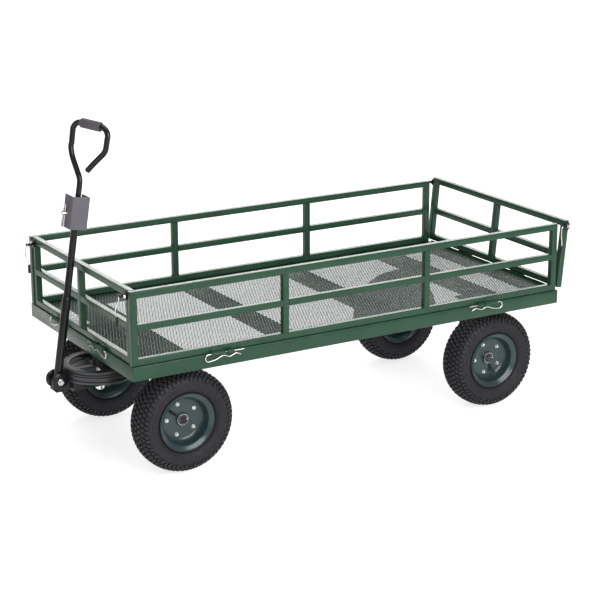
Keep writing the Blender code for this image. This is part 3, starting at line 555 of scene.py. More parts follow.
def build_mesh_deck():
    """Expanded metal: diamond holes in a brick pattern, with tilted strands between bonds."""
    low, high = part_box("mesh_deck")
    nx = int((high.x - low.x) / LONG_PITCH)
    ny = int((high.y - low.y) / (SHORT_PITCH / 2))
    pitch_x = (high.x - low.x) / nx
    pitch_y = (high.y - low.y) / ny
    a, b = pitch_x / 2 - BOND / 2, pitch_y - STRAND / 2 - 0.0004
    mid = (low.z + high.z) / 2
    bm = bmesh.new()
    holes = {}
    for j in range(1, ny):
        for i in range(0, nx + 1):
            cx, cy = low.x + (i + (j % 2) / 2) * pitch_x, low.y + j * pitch_y
            if min(cx - a - low.x, high.x - cx - a, cy - b - low.y, high.y - cy - b) < MESH_MARGIN:
                continue
            corners = ((cx + a, cy, mid), (cx, cy + b, mid + STRAND_TILT),
                       (cx - a, cy, mid), (cx, cy - b, mid - STRAND_TILT))
            holes[(i, j)] = [bm.verts.new(corner) for corner in corners]
    for (i, j), (right, top, left, _) in holes.items():
        next_i = i + j % 2
        up_right, up_left = holes.get((next_i, j + 1)), holes.get((next_i - 1, j + 1))
        down_right, beside = holes.get((next_i, j - 1)), holes.get((i + 1, j))
        if up_right:
            bm.faces.new((right, up_right[3], up_right[2], top))
        if up_left:
            bm.faces.new((top, up_left[0], up_left[3], left))
        if up_right and down_right and beside:
            bm.faces.new((right, down_right[1], beside[2], up_right[3]))
    loose = [v for v in bm.verts if not v.link_faces]
    bmesh.ops.delete(bm, geom=loose, context="VERTS")
    ob = piece("expanded_metal_deck", bm, "mesh", "root", ["mesh_deck"], smooth=30)
    thick = ob.modifiers.new("thickness", "SOLIDIFY")
    thick.thickness = MESH_THICKNESS
    thick.offset = 0.0


def build_mesh_border():
    """The sheared strip round the sheet."""
    low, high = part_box("mesh_deck")
    half, middle = (high - low) / 2, (low + high) / 2
    bm = mitred_plate(half.x, half.y, -0.0007, 0.0007, 0.0, 0.01, 0.0003)
    piece("mesh_border", bm, "green", "root", place=shift(*middle))


# ---- rail panels
def mitred_frame(first, last, inner, outer, foot, top):
    """The panel's outer rectangle of square tube, mitred at its corners."""
    t, gap = PANEL_TUBE, 0.00015
    bm = bmesh.new()
    for z0, z1, low_inset, high_inset in ((foot, foot + t, 0.0, t), (top - t, top, t, 0.0)):
        corners = []
        for z, inset in ((z0, low_inset), (z1, high_inset)):
            a, b = first + inset + gap, last - inset - gap
            corners += [(a, inner, z), (b, inner, z), (b, outer, z), (a, outer, z)]
        absorb(bm, rounded_tube(corners, TUBE_ROUNDING, "x"))
    for x0, x1, low_inset, high_inset in ((first, first + t, 0.0, t), (last - t, last, t, 0.0)):
        insets = ((x0, inner, low_inset), (x1, inner, high_inset),
                  (x1, outer, high_inset), (x0, outer, low_inset))
        corners = [(x, y, foot + inset + gap) for x, y, inset in insets]
        corners += [(x, y, top - inset - gap) for x, y, inset in insets]
        absorb(bm, rounded_tube(corners, TUBE_ROUNDING, "z"))
    return bm


def rounded_tube(corners, edge, along):
    """A square tube: its long edges are rounded and its cut ends are sharp."""
    bm = hexahedron(corners, 0.0)
    k = "xyz".index(along)
    long_edges = []
    for e in bm.edges:
        d = e.verts[0].co - e.verts[1].co
        if abs(d[k]) > 0.75 * d.length and d.length > 0.04:
            long_edges.append(e)
    bmesh.ops.bevel(bm, geom=long_edges, offset=edge, segments=3, profile=0.5, affect="EDGES",
                    clamp_overlap=True)
    return bm


def tube_box(low, high, along):
    return rounded_tube(box_corners(low, high), TUBE_ROUNDING, along)


FRONT_REACH = HALF_W - 0.0044 - PANEL_TUBE
PANEL_REACH = {"left": (-HALF_L + 0.0065, HALF_L - 0.0005),
               "right": (-HALF_L + 0.0005, HALF_L - 0.0065),
               "front": (-FRONT_REACH, FRONT_REACH), "rear": (-HALF_W + 0.004, HALF_W - 0.004)}
PANEL_POSTS = {"left": (-0.25, 0.2555), "right": (-0.2555, 0.25), "front": (0.0,), "rear": (0.0,)}
PANEL_FACES = {"rear": (REAR_INNER, REAR_OUTER, REAR_FOOT)}
TUBE_FIT = 0.0002


def build_panel(edge):
    """One rail panel: frame, posts, middle rails, weld beads, hinge barrels and straps."""
    first, last = PANEL_REACH[edge]
    inner, outer, foot = PANEL_FACES.get(edge, (PANEL_INNER, PANEL_OUTER, 0.0005))
    top = PANEL_HEIGHT + (foot if edge == "rear" else 0.0)
    t, c = PANEL_TUBE, TUBE_FIT
    bm = mitred_frame(first, last, inner, outer, foot, top)
    posts = PANEL_POSTS[edge]
    for x in posts:
        absorb(bm, tube_box((x - t / 2, inner + c, foot + t + c),
                            (x + t / 2, outer - c, top - t - c), "z"))
    stops = [first + t] + [x + s * t / 2 for x in posts for s in (-1, 1)] + [last - t]
    z0, z1 = MID_RAIL_HEIGHT - t / 2, MID_RAIL_HEIGHT + t / 2
    for a, b in zip(stops[0::2], stops[1::2]):
        absorb(bm, tube_box((a + c, inner + c, z0), (b - c, outer - c, z1), "x"))
    welds = [(x, z) for x in stops for z in (z0, z1)]
    welds += [(x, z) for x in stops[1:-1] for z in (foot + t, top - t)]
    for x, z in welds:
        absorb(bm, weld_bead((x, inner + 0.002, z), (x, outer - 0.002, z), 0.0014))
    for side in (-1, 1):
        a, b = sorted(side * (HINGE_BOWS[edge_kind(edge)] - back) for back in PANEL_KNUCKLE)
        absorb(bm, knuckle_tube(a, b))
        low, high = a + 0.0005, b - 0.0005
        if edge == "rear":
            absorb(bm, box((low, -0.002, 0.0036), (high, 0.005, foot + 0.001), 0.0006))
            continue
        absorb(bm, box((low, outer - 0.001, 0.0014), (high, -0.0032, 0.0052), 0.0008))
        a, b = a + 0.004, b - 0.004
        absorb(bm, box((a, outer - 0.001, 0.0018), (b, outer + 0.0026, 0.0163), 0.0009))
        for x in (a, b):
            absorb(bm, weld_bead((x, outer + 0.0004, 0.003), (x, outer + 0.0004, 0.0155), 0.0011))
    piece(f"{edge}_panel_look", bm, "green", f"{edge}_panel", [f"{edge}_panel"],
          place=swing_place(edge))


# ---- clips and latches
def hairpin(side):
    """The hinge clip: a straight leg on the axis, a round bow and a waved spring leg."""
    straight = [(0.128, 0.0), (0.09, 0.0), (0.055, 0.0), (0.022, 0.0)]
    round_bow = arc((CLIP_BOW, -CLIP_BOW + 0.0005), CLIP_BOW, 75, 285, 10)
    wave = [(0.034, -0.018), (0.055, -0.01), (0.066, -0.0105), (0.08, -0.0155),
            (0.098, -0.0095), (0.106, -0.0098), (0.117, -0.015)]
    points = [(side * -x, 0.0, z) for x, z in straight + round_bow + wave]
    return wire(smooth_path(points, 4), CLIP_WIRE, 12)


def build_clips():
    for edge in EDGES:
        for side, label in ((-1, "a"), (1, "b")):
            seat = edge_place(edge) @ shift(side * HINGE_BOWS[edge_kind(edge)], 0, 0)
            name = f"{edge}_clip_{label}"
            piece(f"{name}_wire", hairpin(side), "zinc", name, [name], place=seat)


LATCH_DROP = 0.018
LATCH_INSET = 0.014
LATCH_WIRE = 0.0017
LEVER_AXES = {"front": (0.0, 0.025), "rear": (0.01, 0.0125)}
LEVER_PATHS = {
    "front": ((0.008, 0.0, 0.0), (0.003, 0.0, 0.0), (-0.0015, 0.0, 0.0), (-0.004, 0.0, -0.003),
              (-0.0045, 0.001, -0.01), (-0.002, 0.005, -0.024), (0.006, 0.006, -0.038),
              (0.012, 0.002, -0.052), (0.013, 0.0, -0.066), (0.013, 0.0, -0.078)),
    "rear": ((0.0022, 0.0, 0.0), (0.008, 0.0, 0.0), (0.0132, 0.0, 0.0), (0.0165, 0.0, -0.0035),
             (0.017, 0.0, -0.01), (0.015, 0.0, -0.03), (0.0105, 0.0, -0.052),
             (0.0095, 0.0, -0.07), (0.0095, 0.0, -0.078)),
}
LATCH_MIRRORED = {"front": 1, "rear": -1}
LATCH_NAMES = {"front": {-1: "left", 1: "right"}, "rear": {-1: "right", 1: "left"}}


def latch_eye(edge):
    """A forged plate with an arm that ends in the lever's eye."""
    bm = lathe([(0.0004, 0.0001), (0.0004, 0.0122), (0.0013, 0.013), (0.0053, 0.013),
                (0.0062, 0.0122), (0.0062, 0.0001)], 36, "y")
    absorb(bm, box((-0.0124, 0.0006, -0.0088), (-0.004, 0.006, 0.0088), 0.0016))
    if edge == "front":
        absorb(bm, box((0.0014, 0.0044, -0.004), (0.0091, 0.0212, 0.004), 0.001))
        x0, x1, outer = 0.001, 0.0095, 0.0048
    else:
        absorb(bm, box((0.0042, 0.0022, -0.0044), (0.0222, 0.009, 0.0044), 0.001))
        x0, x1, outer = 0.011, 0.0223, 0.0043
    c = 0.0007
    ring = lathe([(x0, 0.0027), (x0, outer - c), (x0 + c, outer), (x1 - c, outer), (x1, outer - c),
                  (x1, 0.0027)], 28, "x")
    absorb(bm, ring, shift(0, LEVER_AXES[edge][1], 0))
    return bm


def latch_sleeve(x, y):
    profile = [(-0.09, 0.0001), (-0.09, 0.0028), (-0.0892, 0.0038), (-0.0876, 0.0042),
               (-0.066, 0.0042), (-0.0636, 0.0036), (-0.0622, 0.0024), (-0.0622, 0.0001)]
    bm = lathe(profile, 24, "z")
    bm.transform(shift(x, y, 0))
    return bm


def latch_place(edge, side):
    """A latch's frame: y out from the face it is bolted to, the pair mirroring each other."""
    last = PANEL_REACH[edge][1]
    level = PANEL_HEIGHT - LATCH_DROP + (REAR_FOOT if edge == "rear" else 0.0)
    if edge == "front":
        seat = shift(side * (last - LATCH_INSET), PANEL_OUTER, level)
    else:
        across = (REAR_INNER + REAR_OUTER) / 2 - 0.001
        seat = shift(side * last, across, level) @ Matrix.Rotation(-side * pi / 2, 4, "Z")
    if side == LATCH_MIRRORED[edge]:
        seat = seat @ Matrix.Diagonal((-1, 1, 1, 1))
    return swing_place(edge) @ seat


def build_latches():
    for edge in ("front", "rear"):
        for side in (-1, 1):
            place = latch_place(edge, side)
            name = f"{edge}_latch_{LATCH_NAMES[edge][side]}"
            body = f"{edge}_panel"
            piece(f"{name}_bracket", latch_eye(edge), "black", body, [f"{name}_eye"], place=place)
            bolt = hex_head(0.0046, 0.0048, axis="y")
            bolt.transform(shift(-0.0052, 0.0064, 0))
            piece(f"{name}_bolt", bolt, "zinc", body, place=place)
            lever = f"{name}_lever"
            hang = place @ shift(*LEVER_AXES[edge], 0)
            path = LEVER_PATHS[edge]
            bar = wire(smooth_path(path, 5), LATCH_WIRE, 12)
            piece(f"{name}_wire", bar, "zinc", lever, [lever], place=hang)
            piece(f"{name}_sleeve", latch_sleeve(*path[-1][:2]), "vinyl", lever, place=hang)


# ---- wheels
def mirrored(half):
    """A section's half and its mirror image across the wheel's middle."""
    return [*half, *((-u, r) for u, r in reversed(half))]


# bead, lower sidewall with moulded rings, shoulder and tread base, as (across, radius)
CARCASS_HALF = ((0.029, 0.0782), (0.0325, 0.088), (0.0338, 0.0925), (0.0362, 0.0945),
                (0.0395, 0.0962), (0.0425, 0.0992), (0.0432, 0.101), (0.0428, 0.1022),
                (0.0448, 0.105), (0.0462, 0.11), (0.0469, 0.115), (0.0471, 0.1172),
                (0.0466, 0.1182), (0.047, 0.1194), (0.0471, 0.123), (0.046, 0.1288),
                (0.0434, 0.1348), (0.0392, 0.1408), (0.0332, 0.1462), (0.0254, 0.1496),
                (0.016, 0.1512), (0.006, 0.1519))
# the tread's base from sidewall to crown, as (across, radius)
TREAD_SECTION = ((0.0471, 0.12), (0.0466, 0.1262), (0.0444, 0.1326), (0.0408, 0.1388),
                 (0.0354, 0.1444), (0.0284, 0.1484), (0.0196, 0.1508), (0.01, 0.1518),
                 (0.0, 0.1521))


def tread_point(s, lift):
    """A point of the tread's section: s from -1 (one sidewall) over 0 (crown) to 1."""
    sign = 1 if s >= 0 else -1
    at = (1 - abs(s)) * (len(TREAD_SECTION) - 1)
    k = min(int(at), len(TREAD_SECTION) - 2)
    t = at - k
    (u0, r0), (u1, r1) = TREAD_SECTION[k], TREAD_SECTION[k + 1]
    du, dr = u1 - u0, r1 - r0
    size = sqrt(du * du + dr * dr)
    nu, nr = dr / size, -du / size
    return sign * (u0 + du * t + nu * lift), r0 + dr * t + nr * lift


def tread_block(bm, s0, s1, angle, width, skew, lift, steps):
    """One knob: its base sits under the carcass and its top is drawn in a little."""
    levels = []
    for up, pull in ((TREAD_SINK, 0.0), (lift, TREAD_DRAFT)):
        row = []
        for i in range(steps + 1):
            f = i / steps
            u, r = tread_point(s0 + (s1 - s0) * (f * (1 - pull) + pull / 2), up)
            centre = angle + skew * (f - 0.5)
            half = width / 2 * (1 - pull)
            row.append([bm.verts.new((u, r * cos(a), r * sin(a)))
                        for a in (centre - half, centre + half)])
        levels.append(row)
    low, high = levels
    for i in range(steps):
        bm.faces.new((high[i][0], high[i][1], high[i + 1][1], high[i + 1][0]))
        bm.faces.new((low[i][0], low[i + 1][0], low[i + 1][1], low[i][1]))
        for k in (0, 1):
            bm.faces.new((low[i][k], high[i][k], high[i + 1][k], low[i + 1][k]))
    for i in (0, steps):
        bm.faces.new((low[i][0], low[i][1], high[i][1], high[i][0]))


TREAD_SINK, TREAD_DRAFT = -0.0015, 0.1
BLOCKS_ROUND = 60
# each row's start and end on the section, how much later it comes round, and its lean
TREAD_ROWS = ((0.03, 0.18, 0.25, 1), (0.225, 0.375, 0.75, -1), (0.42, 0.545, 0.25, 1))
RIBS_ROUND = 120


def build_tread_mesh():
    """Three staggered rows of knobs on each side, shoulder lugs and fine sidewall ribs."""
    bm = bmesh.new()
    step = 2 * pi / BLOCKS_ROUND
    for i in range(BLOCKS_ROUND):
        a = i * step
        for side in (-1, 1):
            for s0, s1, later, lean in TREAD_ROWS:
                tread_block(bm, side * s0, side * s1, a + side * step * later, step * 0.56,
                            side * lean * 0.25 * step, 0.0063, 2)
            reach = 0.72 if i % 2 else 0.82
            tread_block(bm, side * 0.59, side * reach, a + side * step * 0.75, step * 0.52,
                        side * 0.12 * step, 0.0046, 3)
    rib = 2 * pi / RIBS_ROUND
    for i in range(RIBS_ROUND):
        for side in (-1, 1):
            tread_block(bm, side * 0.845, side * 0.985, i * rib, rib * 0.45, 0.0, 0.0009, 1)
    return bm


# the dish from its hub tube over the web and wall to the flange, as (across, radius)
RIM_OUTER = ((0.008, 0.015), (0.008, 0.018), (0.0072, 0.019), (0.0005, 0.0192),
             (-0.001, 0.021), (-0.001, 0.056), (-0.0004, 0.06), (0.002, 0.065),
             (0.006, 0.069), (0.013, 0.0722), (0.0257, 0.0738), (0.0297, 0.0752),
             (0.0327, 0.079), (0.0352, 0.0845), (0.0371, 0.0875))
RIM_FLANGE = ((0.0385, 0.089), (0.0383, 0.09), (0.0367, 0.0903), (0.0347, 0.0897),
              (0.0335, 0.087), (0.0312, 0.08), (0.0287, 0.077))
RIM_INNER = ((-0.0367, 0.086), (-0.0327, 0.079), (-0.0277, 0.074), (-0.012, 0.07),
             (-0.004, 0.064), (-0.004, 0.021), (-0.0055, 0.0192), (-0.049, 0.019),
             (-0.05, 0.018), (-0.05, 0.015))
BOLT_CIRCLE = 0.0495
BOLTS = 5


def wheel_place(name, side):
    """A wheel's frame: x outboard along its axle."""
    turn = Matrix.Rotation(0.0 if side > 0 else pi, 4, "Z")
    return shift(*joint_at(f"{name}_wheel_spin")) @ turn


def build_wheel(name, side, phase):
    """One wheel: tyre, rim, bolts, valve, bearing seal and hub ring."""
    body = f"{name}_wheel"
    place = wheel_place(name, side)
    spin = place @ Matrix.Rotation(phase, 4, "X")
    carcass = lathe(mirrored(CARCASS_HALF), 120)
    piece(f"{name}_tyre_carcass", carcass, "tyre", body, [f"{name}_tyre"], 32, spin)
    piece(f"{name}_tyre_tread", build_tread_mesh(), "tread", body, smooth=32, place=spin)
    dish = lathe([*RIM_OUTER, *mirrored(RIM_FLANGE), *RIM_INNER], 96)
    piece(f"{name}_dished_rim", dish, "rim", body, [f"{name}_rim"], 32, spin)
    bolts = bmesh.new()
    for k in range(BOLTS):
        a = 2 * pi * k / BOLTS
        seat = shift(-0.0012, BOLT_CIRCLE * cos(a), BOLT_CIRCLE * sin(a))
        absorb(bolts, hex_head(0.0047, 0.0052), seat)
    piece(f"{name}_rim_bolts", bolts, "zinc", body, place=spin)
    a = pi / BOLTS
    foot = Vector((-0.0008, 0.027 * cos(a), 0.027 * sin(a)))
    tip = Vector((0.0135, 0.052 * cos(a), 0.052 * sin(a)))
    stem = rod(foot, tip, 0.004, 20, 0.0008)
    absorb(stem, rod(tip + (foot - tip) * 0.08, tip + (tip - foot) * 0.24, 0.0045, 20, 0.001))
    piece(f"{name}_valve", stem, "vinyl", body, place=spin)
    seal = lathe([(0.0058, 0.0104), (0.0063, 0.0108), (0.0063, 0.014), (0.0056, 0.0145),
                  (-0.005, 0.0145), (-0.005, 0.0104)])
    piece(f"{name}_bearing_ring", seal, "dark", body, [f"{name}_bearing"], place=place)
    ring = lathe([(0.0078, 0.0164), (0.0084, 0.0165), (0.0084, 0.0175), (0.0078, 0.0177)], 64)
    piece(f"{name}_hub_ring", ring, "zinc", body, place=place)


COTTER_X = 0.0119
COTTER = ((-0.013, 0.002), (-0.004, 0.0), (0.008, 0.0), (0.0135, 0.0035), (0.015, 0.0068))


def build_axle_ends():
    """The washer and the bent cotter pin that end each axle."""
    for end in ("front", "rear"):
        for label, side in (("left", 1), ("right", -1)):
            body = f"knuckle_{label}" if end == "front" else "root"
            name = f"{end}_{label}"
            place = wheel_place(name, side)
            washer = lathe([(0.0086, 0.0104), (0.0086, 0.0156), (0.009, 0.016), (0.0104, 0.0158),
                            (0.0108, 0.015), (0.0108, 0.0104)], 40)
            pin = wire(smooth_path([(COTTER_X, y, z) for y, z in COTTER], 4), 0.001, 8)
            piece(f"{name}_axle_washer", washer, "dark", body, [f"{name}_retainer"], place=place)
            piece(f"{name}_cotter", pin, "zinc", body, place=place)


# ---- turntable and yoke
UPPER_RACE, LOWER_RACE = (0.27, 0.286), (0.2468, 0.269)
RACE_INNER, RACE_OUTER, RACE_GROOVE = 0.089, 0.115, 0.0045


def race(low, high):
    """A ring with rounded rims and a groove round its outside."""
    inner, outer, e = RACE_INNER, RACE_OUTER, 0.0014
    third = (high - low) / 3
    half = [(e, inner), (0.0004, inner + e * 0.7), (0, inner + 2 * e), (0, outer - 2 * e),
            (0.0004, outer - e * 0.7), (e, outer), (third - e / 2, outer), (third, outer - e),
            (third + 0.0004, outer - RACE_GROOVE)]
    profile = [(high - d, r) for d, r in half] + [(low + d, r) for d, r in reversed(half)]
    return lathe(profile, 96, "z")


def build_turntable():
    pin = joint_at("steer")
    place = shift(pin.x, pin.y, 0)
    low, high = UPPER_RACE
    reach, hub_top = RACE_INNER + 0.003, FRAME_UNDER - 0.0006
    bm = race(low, high)
    absorb(bm, box((-0.014, -reach, low + 0.001), (0.014, reach, low + 0.006), 0.001))
    absorb(bm, box((-reach, -0.014, low + 0.0013), (reach, 0.014, low + 0.0057), 0.001))
    absorb(bm, lathe([(low + 0.0008, 0.0085), (low + 0.0008, 0.02), (hub_top, 0.02),
                      (hub_top, 0.0085)], 40, "z"))
    absorb(bm, weld_ring(0.0205, low + 0.0066))
    for x in (-0.07, 0.07):
        absorb(bm, box((x - 0.01, 0.055, high - 0.003), (x + 0.01, 0.075, FRAME_UNDER - 0.0005)))
    piece("upper_race_look", bm, "race", "root", ["turntable_upper_race"], place=place)
    piece("lower_race_look", race(*LOWER_RACE), "race", "yoke", ["turntable_lower_race"],
          place=place)


def weld_ring(radius, z):
    return lathe([(z - 0.0015, radius - 0.001), (z + 0.0008, radius - 0.001), (z + 0.0012, radius),
                  (z - 0.0006, radius + 0.0016), (z - 0.0014, radius + 0.0018)], 48, "z")


def build_yoke():
    """The channel with its two round ears, the kingpin's nut and the handle's pivot bolt."""
    pin = joint_at("steer")
    place = shift(pin.x, pin.y, 0)
    pivot = joint_at("tow_bar_pitch")
    ear_y, ear_z = pivot.y - pin.y, pivot.z
    w, low, top = 0.026, 0.214, 0.2465
    bm = bmesh.new()
    absorb(bm, box((-w, -0.1, top - 0.0042), (w, 0.04, top)))
    for side in (-1, 1):
        x0, x1 = sorted((side * (w - 0.004), side * w))
        absorb(bm, box((x0, -0.0995, low), (x1, 0.0395, top - 0.001)))
        e0, e1 = sorted((side * 0.02, side * w))
        disc = lathe([(e0, 0.0064), (e0, 0.0268), (e0 + 0.001, 0.028), (e1 - 0.001, 0.028),
                      (e1, 0.0268), (e1, 0.0064)], 56)
        absorb(bm, disc, shift(0, ear_y, ear_z))
        absorb(bm, box((e0 + 0.0001, ear_y, 0.2228), (e1 - 0.0001, -0.085, top - 0.0012)))
    absorb(bm, box((-w + 0.004, -0.0995, low + 0.0003), (w - 0.004, -0.0958, top - 0.004), 0.001))
    absorb(bm, box((-w, ear_y - 0.016, 0.218), (w, ear_y + 0.012, 0.2225), 0.0014))
    absorb(bm, box((-0.014, 0.03, top - 0.0045), (0.014, 0.076, top - 0.0003), 0.0014))
    piece("yoke_look", bm, "black", "yoke", ["steering_yoke"], place=place)
    nut = lathe([(0.199, 0.0083), (0.199, 0.012), (0.2, 0.013), (0.2085, 0.013),
                 (0.209, 0.016), (0.2098, 0.0165), (0.2125, 0.0165), (0.2125, 0.0083)], 48, "z")
    piece("kingpin_nut_look", nut, "zinc", "root", ["kingpin_nut"], place=place)
    bolt = rod((-0.0385, 0, 0), (0.03, 0, 0), 0.006, 28)
    for side in (-1, 1):
        seat = shift(side * (w + 0.0003), 0, 0) @ Matrix.Diagonal((side, 1, 1, 1))
        absorb(bolt, hex_head(0.0074, 0.007), seat)
    piece("handle_pivot_bolt_look", bolt, "zinc", "yoke", ["handle_pivot_bolt"],
          place=shift(*pivot))


# ---- handle
def tongue_place():
    return shift(*joint_at("tow_bar_pitch")) @ Matrix.Rotation(-TONGUE_LEAN, 4, "X")


TUBE_LOWER, TUBE_UPPER, TUBE_STEP = 0.0132, 0.0108, 0.25
CLEVIS_WALL, CLEVIS_BEND = 0.004, 0.0065
HITCH_PIN_RADIUS, HITCH_BOW = 0.007, 0.0085


def build_tow_tube():
    lower, upper, step, end = TUBE_LOWER, TUBE_UPPER, TUBE_STEP, CLEVIS_BOTTOM - 0.0004
    bm = lathe([(0.004, 0.0001), (0.004, lower), (step, lower), (step + 0.002, lower - 0.0004),
                (step + 0.007, upper + 0.0004), (step + 0.009, upper), (end, upper),
                (end, 0.0001)], 48, "z")
    absorb(bm, lathe([(-0.0192, 0.0064), (-0.0192, 0.0162), (-0.0182, 0.0172), (0.0182, 0.0172),
                      (0.0192, 0.0162), (0.0192, 0.0064)]))
    absorb(bm, weld_ring(upper + 0.0006, CLEVIS_BOTTOM - 0.0022))
    piece("tow_tube_look", bm, "black", "tow_bar", ["tow_tube"], place=tongue_place())


def build_clevis():
    """A bent channel, open to one side, on a floor plate."""
    h, wall, low = CLEVIS_HALF, CLEVIS_WALL, CLEVIS_BOTTOM
    middle, tight = h - CLEVIS_BEND, CLEVIS_BEND - wall
    outline = [(-h, -h), *arc((middle, -middle), CLEVIS_BEND, -90, 0, 8),
               *arc((middle, middle), CLEVIS_BEND, 0, 90, 8), (-h, h), (-h, h - wall),
               *arc((middle, middle), tight, 90, 0, 5), *arc((middle, -middle), tight, 0, -90, 5),
               (-h, -h + wall)]
    body = bmesh.new()
    caps = skin(body, [[body.verts.new((x, y, z)) for x, y in outline]
                       for z in (low + 0.0006, CLEVIS_TOP)])
    bmesh.ops.recalc_face_normals(body, faces=body.faces)
    bmesh.ops.bevel(body, geom=[e for cap in caps for e in cap.edges], offset=0.0006, segments=2,
                    profile=0.5, affect="EDGES")
    inside = h - wall - 0.0002
    absorb(body, box((-h, -inside, low), (h - wall, inside, low + wall), 0.0006))
    piece("hitch_clevis_look", body, "clevis", "tow_bar", ["hitch_clevis"], place=tongue_place())


def build_hitch_pin():
    """The pin through the clevis and the spring clip through the pin."""
    h = CLEVIS_HALF
    place = tongue_place() @ shift(0, 0, HITCH_PIN_AT)
    pin = rod((0, -h - 0.019, 0), (0, h + 0.003, 0), HITCH_PIN_RADIUS, 32, 0.0012)
    absorb(pin, lathe([(h + 0.0004, 0.0001), (h + 0.0004, 0.0112), (h + 0.0012, 0.012),
                       (h + 0.006, 0.012), (h + 0.0072, 0.0106), (h + 0.0072, 0.0001)], 40, "y"))
    piece("hitch_pin_look", pin, "zinc", "tow_bar", ["hitch_pin"], place=place)
    leg = [(0.0, 0.0, 0.026), (0.0, 0.0, 0.012), (0.0, 0.0, -0.012), (0.0, 0.0, -0.026)]
    leg += [(-x, 0.0, z) for x, z in
            arc((HITCH_BOW - 0.0005, -0.034), HITCH_BOW, 165, 375, 10)]
    leg += [(-0.0175, 0.0, -0.024), (-0.012, 0.0, -0.012), (-0.0104, 0.0, 0.0),
            (-0.012, 0.0, 0.008), (-0.01, 0.0, 0.016), (-0.0096, 0.0, 0.021),
            (-0.0115, 0.0, 0.028)]
    clip = wire(smooth_path(leg, 4), CLIP_WIRE, 12)
    piece("hitch_clip_wire", clip, "zinc", "hitch_clip", ["hitch_clip"],
          place=place @ shift(0, -h - 0.008, 0))


LOOP_RADIUS = 0.0087
FOAM_LENGTH, FOAM_BORE, FOAM_RADIUS = 0.078, 0.0092, 0.0145
FOAM_AT = (-0.019, 0, 0.268)


def loop_points():
    """The grip's bent bar, from the pin up and round, in its own plane."""
    points = [(0.0, 0.006), (0.0, 0.06), (0.0, 0.092), (-0.004, 0.108), (-0.014, 0.124),
              (-0.04, 0.164)]
    points += arc((-0.014, 0.196), 0.036, 203, 165, 4)
    points += arc((-0.022, 0.24), 0.028, 172, 90, 6)
    points += arc((0.062, 0.242), 0.026, 90, -10, 7)
    return points + [(0.087, 0.222), (0.0858, 0.206), (0.0785, 0.192), (0.066, 0.1785),
                     (0.0445, 0.1555), (0.023, 0.131)]


def build_grip():
    place = tongue_place() @ shift(0, 0, HITCH_PIN_AT)
    turn = Matrix.Rotation(GRIP_TWIST, 4, "Z")
    bm = wire(smooth_path([(u, 0.0, v) for u, v in loop_points()], 4), LOOP_RADIUS, 28)
    bm.transform(turn)
    absorb(bm, lathe([(-0.0235, 0.0074), (-0.0235, 0.0132), (-0.0227, 0.014), (0.0227, 0.014),
                      (0.0235, 0.0132), (0.0235, 0.0074)], 40, "y"))
    piece("grip_loop_look", bm, "black", "grip", ["grip_loop"], place=place)
    end, bore, r = FOAM_LENGTH, FOAM_BORE, FOAM_RADIUS
    sleeve = lathe([(0, bore), (0, r - 0.003), (0.001, r - 0.0012), (0.003, r - 0.0002),
                    (end / 2, r), (end - 0.003, r - 0.0002), (end - 0.001, r - 0.0012),
                    (end, r - 0.003), (end, bore)], 56)
    sleeve.transform(turn @ shift(*FOAM_AT))
    piece("foam_grip_look", sleeve, "foam", "grip", ["foam_grip"], place=place)


# ---- nodes kept from the frame
NODE_LOOKS = {"front_axle_beam": "green", "rear_axle_fork_left": "green",
              "rear_axle_fork_right": "green", "steering_knuckle_left": "black",
              "steering_knuckle_right": "black", "tie_rod_left": "steel", "tie_rod_right": "steel",
              "rear_stub_axle_left": "dark", "rear_stub_axle_right": "dark",
              "kingpin_bolt": "zinc", "tie_rod_pin": "zinc"}


def dress_nodes():
    for name, look in NODE_LOOKS.items():
        materials = frame["nodes"][name].data.materials
        materials.clear()
        materials.append(MATS[look])


# ---- studio
CAMERA_AZIMUTH, CAMERA_ELEVATION, CAMERA_ROLL = radians(59.603), radians(16.4845), radians(-0.1941)
CAMERA_DISTANCE = 5.1729
CAMERA_TARGET = (0.4769, -0.2879, 0.5527)
SENSOR = 36.0
LENS = 1788.8 / 590 * SENSOR
FLOOR_REACH, FLOOR_GLOW = 200, 0.76
WORLD_STRENGTH = 0.35
SUN_STRENGTH, SUN_ANGLE = 1.5, radians(60)
LIGHT_AWAY, LIGHT_UP, LIGHT_AIM, LIGHT_TALL = 4.2, 2.3, (0, 0, 0.4), 2.4
# name, bearing in degrees, width, power
LIGHTS = (("back", 239.6, 6.0, 75), ("left", 90, 3.5, 185), ("right", -120, 3.5, 60))


def build_camera():
    a, e = CAMERA_AZIMUTH, CAMERA_ELEVATION
    back = Vector((sin(a) * cos(e), -cos(a) * cos(e), sin(e)))
    right = (-back).cross(Vector((0, 0, 1))).normalized()
    up = right.cross(-back)
    c, s = cos(CAMERA_ROLL), sin(CAMERA_ROLL)
    right, up = c * right + s * up, -s * right + c * up
    data = bpy.data.cameras.new("camera")
    data.sensor_width = SENSOR
    data.lens = LENS
    data.clip_end = 60
    ob = bpy.data.objects.new("camera", data)
    target = Vector(CAMERA_TARGET) + Vector((0, deck_centre_y, 0))
    turn = Matrix((right, up, back)).transposed()
    ob.matrix_world = Matrix.Translation(target + back * CAMERA_DISTANCE) @ turn.to_4x4()
    bpy.context.collection.objects.link(ob)
    bpy.context.scene.camera = ob


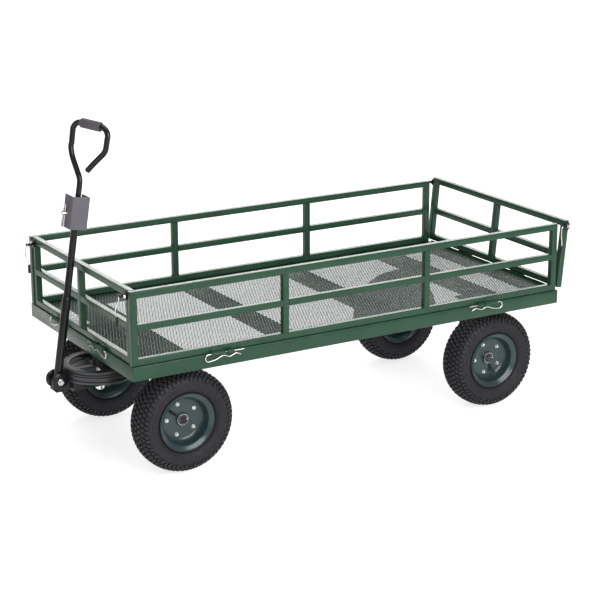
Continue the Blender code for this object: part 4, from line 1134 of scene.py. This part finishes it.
def light_panel(name, bearing, width, power):
    """A soft rectangular light; bearing 0 is the handle end and 90 the left side."""
    data = bpy.data.lights.new(name, "AREA")
    data.energy = power
    data.shape = "RECTANGLE"
    data.size = width
    data.size_y = LIGHT_TALL
    ob = bpy.data.objects.new(name, data)
    a = radians(bearing)
    ob.location = (LIGHT_AWAY * sin(a), -LIGHT_AWAY * cos(a), LIGHT_UP)
    aim = Vector(LIGHT_AIM) - ob.location
    ob.rotation_euler = aim.to_track_quat("-Z", "Y").to_euler()
    bpy.context.collection.objects.link(ob)


def build_studio():
    bm = bmesh.new()
    bmesh.ops.create_grid(bm, x_segments=1, y_segments=1, size=FLOOR_REACH)
    mesh = bpy.data.meshes.new("floor")
    bm.to_mesh(mesh)
    bm.free()
    mat, tree, shader, at = new_material("pale_floor")
    tone = ramp(tree, noise(tree, at, 0.6, 2.0), [(0.3, 0.4), (0.7, 0.43)])
    white = (1.0, 1.0, 1.0, 1.0)
    feed(tree, shader, {"Base Color": tone, "Roughness": 0.9, "Specular IOR Level": 0.1,
                        "Emission Color": white, "Emission Strength": FLOOR_GLOW})
    mesh.materials.append(mat)
    floor = bpy.data.objects.new("floor", mesh)
    bpy.context.collection.objects.link(floor)
    world = bpy.data.worlds.new("studio")
    world.use_nodes = True
    sky = world.node_tree
    feed(sky, sky.nodes["Background"], {"Color": white, "Strength": WORLD_STRENGTH})
    bpy.context.scene.world = world
    bpy.context.scene.view_settings.view_transform = "Standard"
    sun = bpy.data.lights.new("overhead", "SUN")
    sun.energy = SUN_STRENGTH
    sun.angle = SUN_ANGLE
    bpy.context.collection.objects.link(bpy.data.objects.new("overhead", sun))
    for values in LIGHTS:
        light_panel(*values)


# ---- everything
build_camera()
build_studio()
build_deck()
build_cross_members()
build_mesh_deck()
build_mesh_border()
for edge_name in EDGES:
    build_panel(edge_name)
build_clips()
build_latches()
for wheel, outboard, degrees in (("front_left", 1, 105), ("front_right", -1, 60),
                                 ("rear_left", 1, -105), ("rear_right", -1, 20)):
    build_wheel(wheel, outboard, radians(degrees))
build_axle_ends()
build_turntable()
build_yoke()
build_tow_tube()
build_clevis()
build_hitch_pin()
build_grip()
dress_nodes()

bpy.context.view_layer.update()
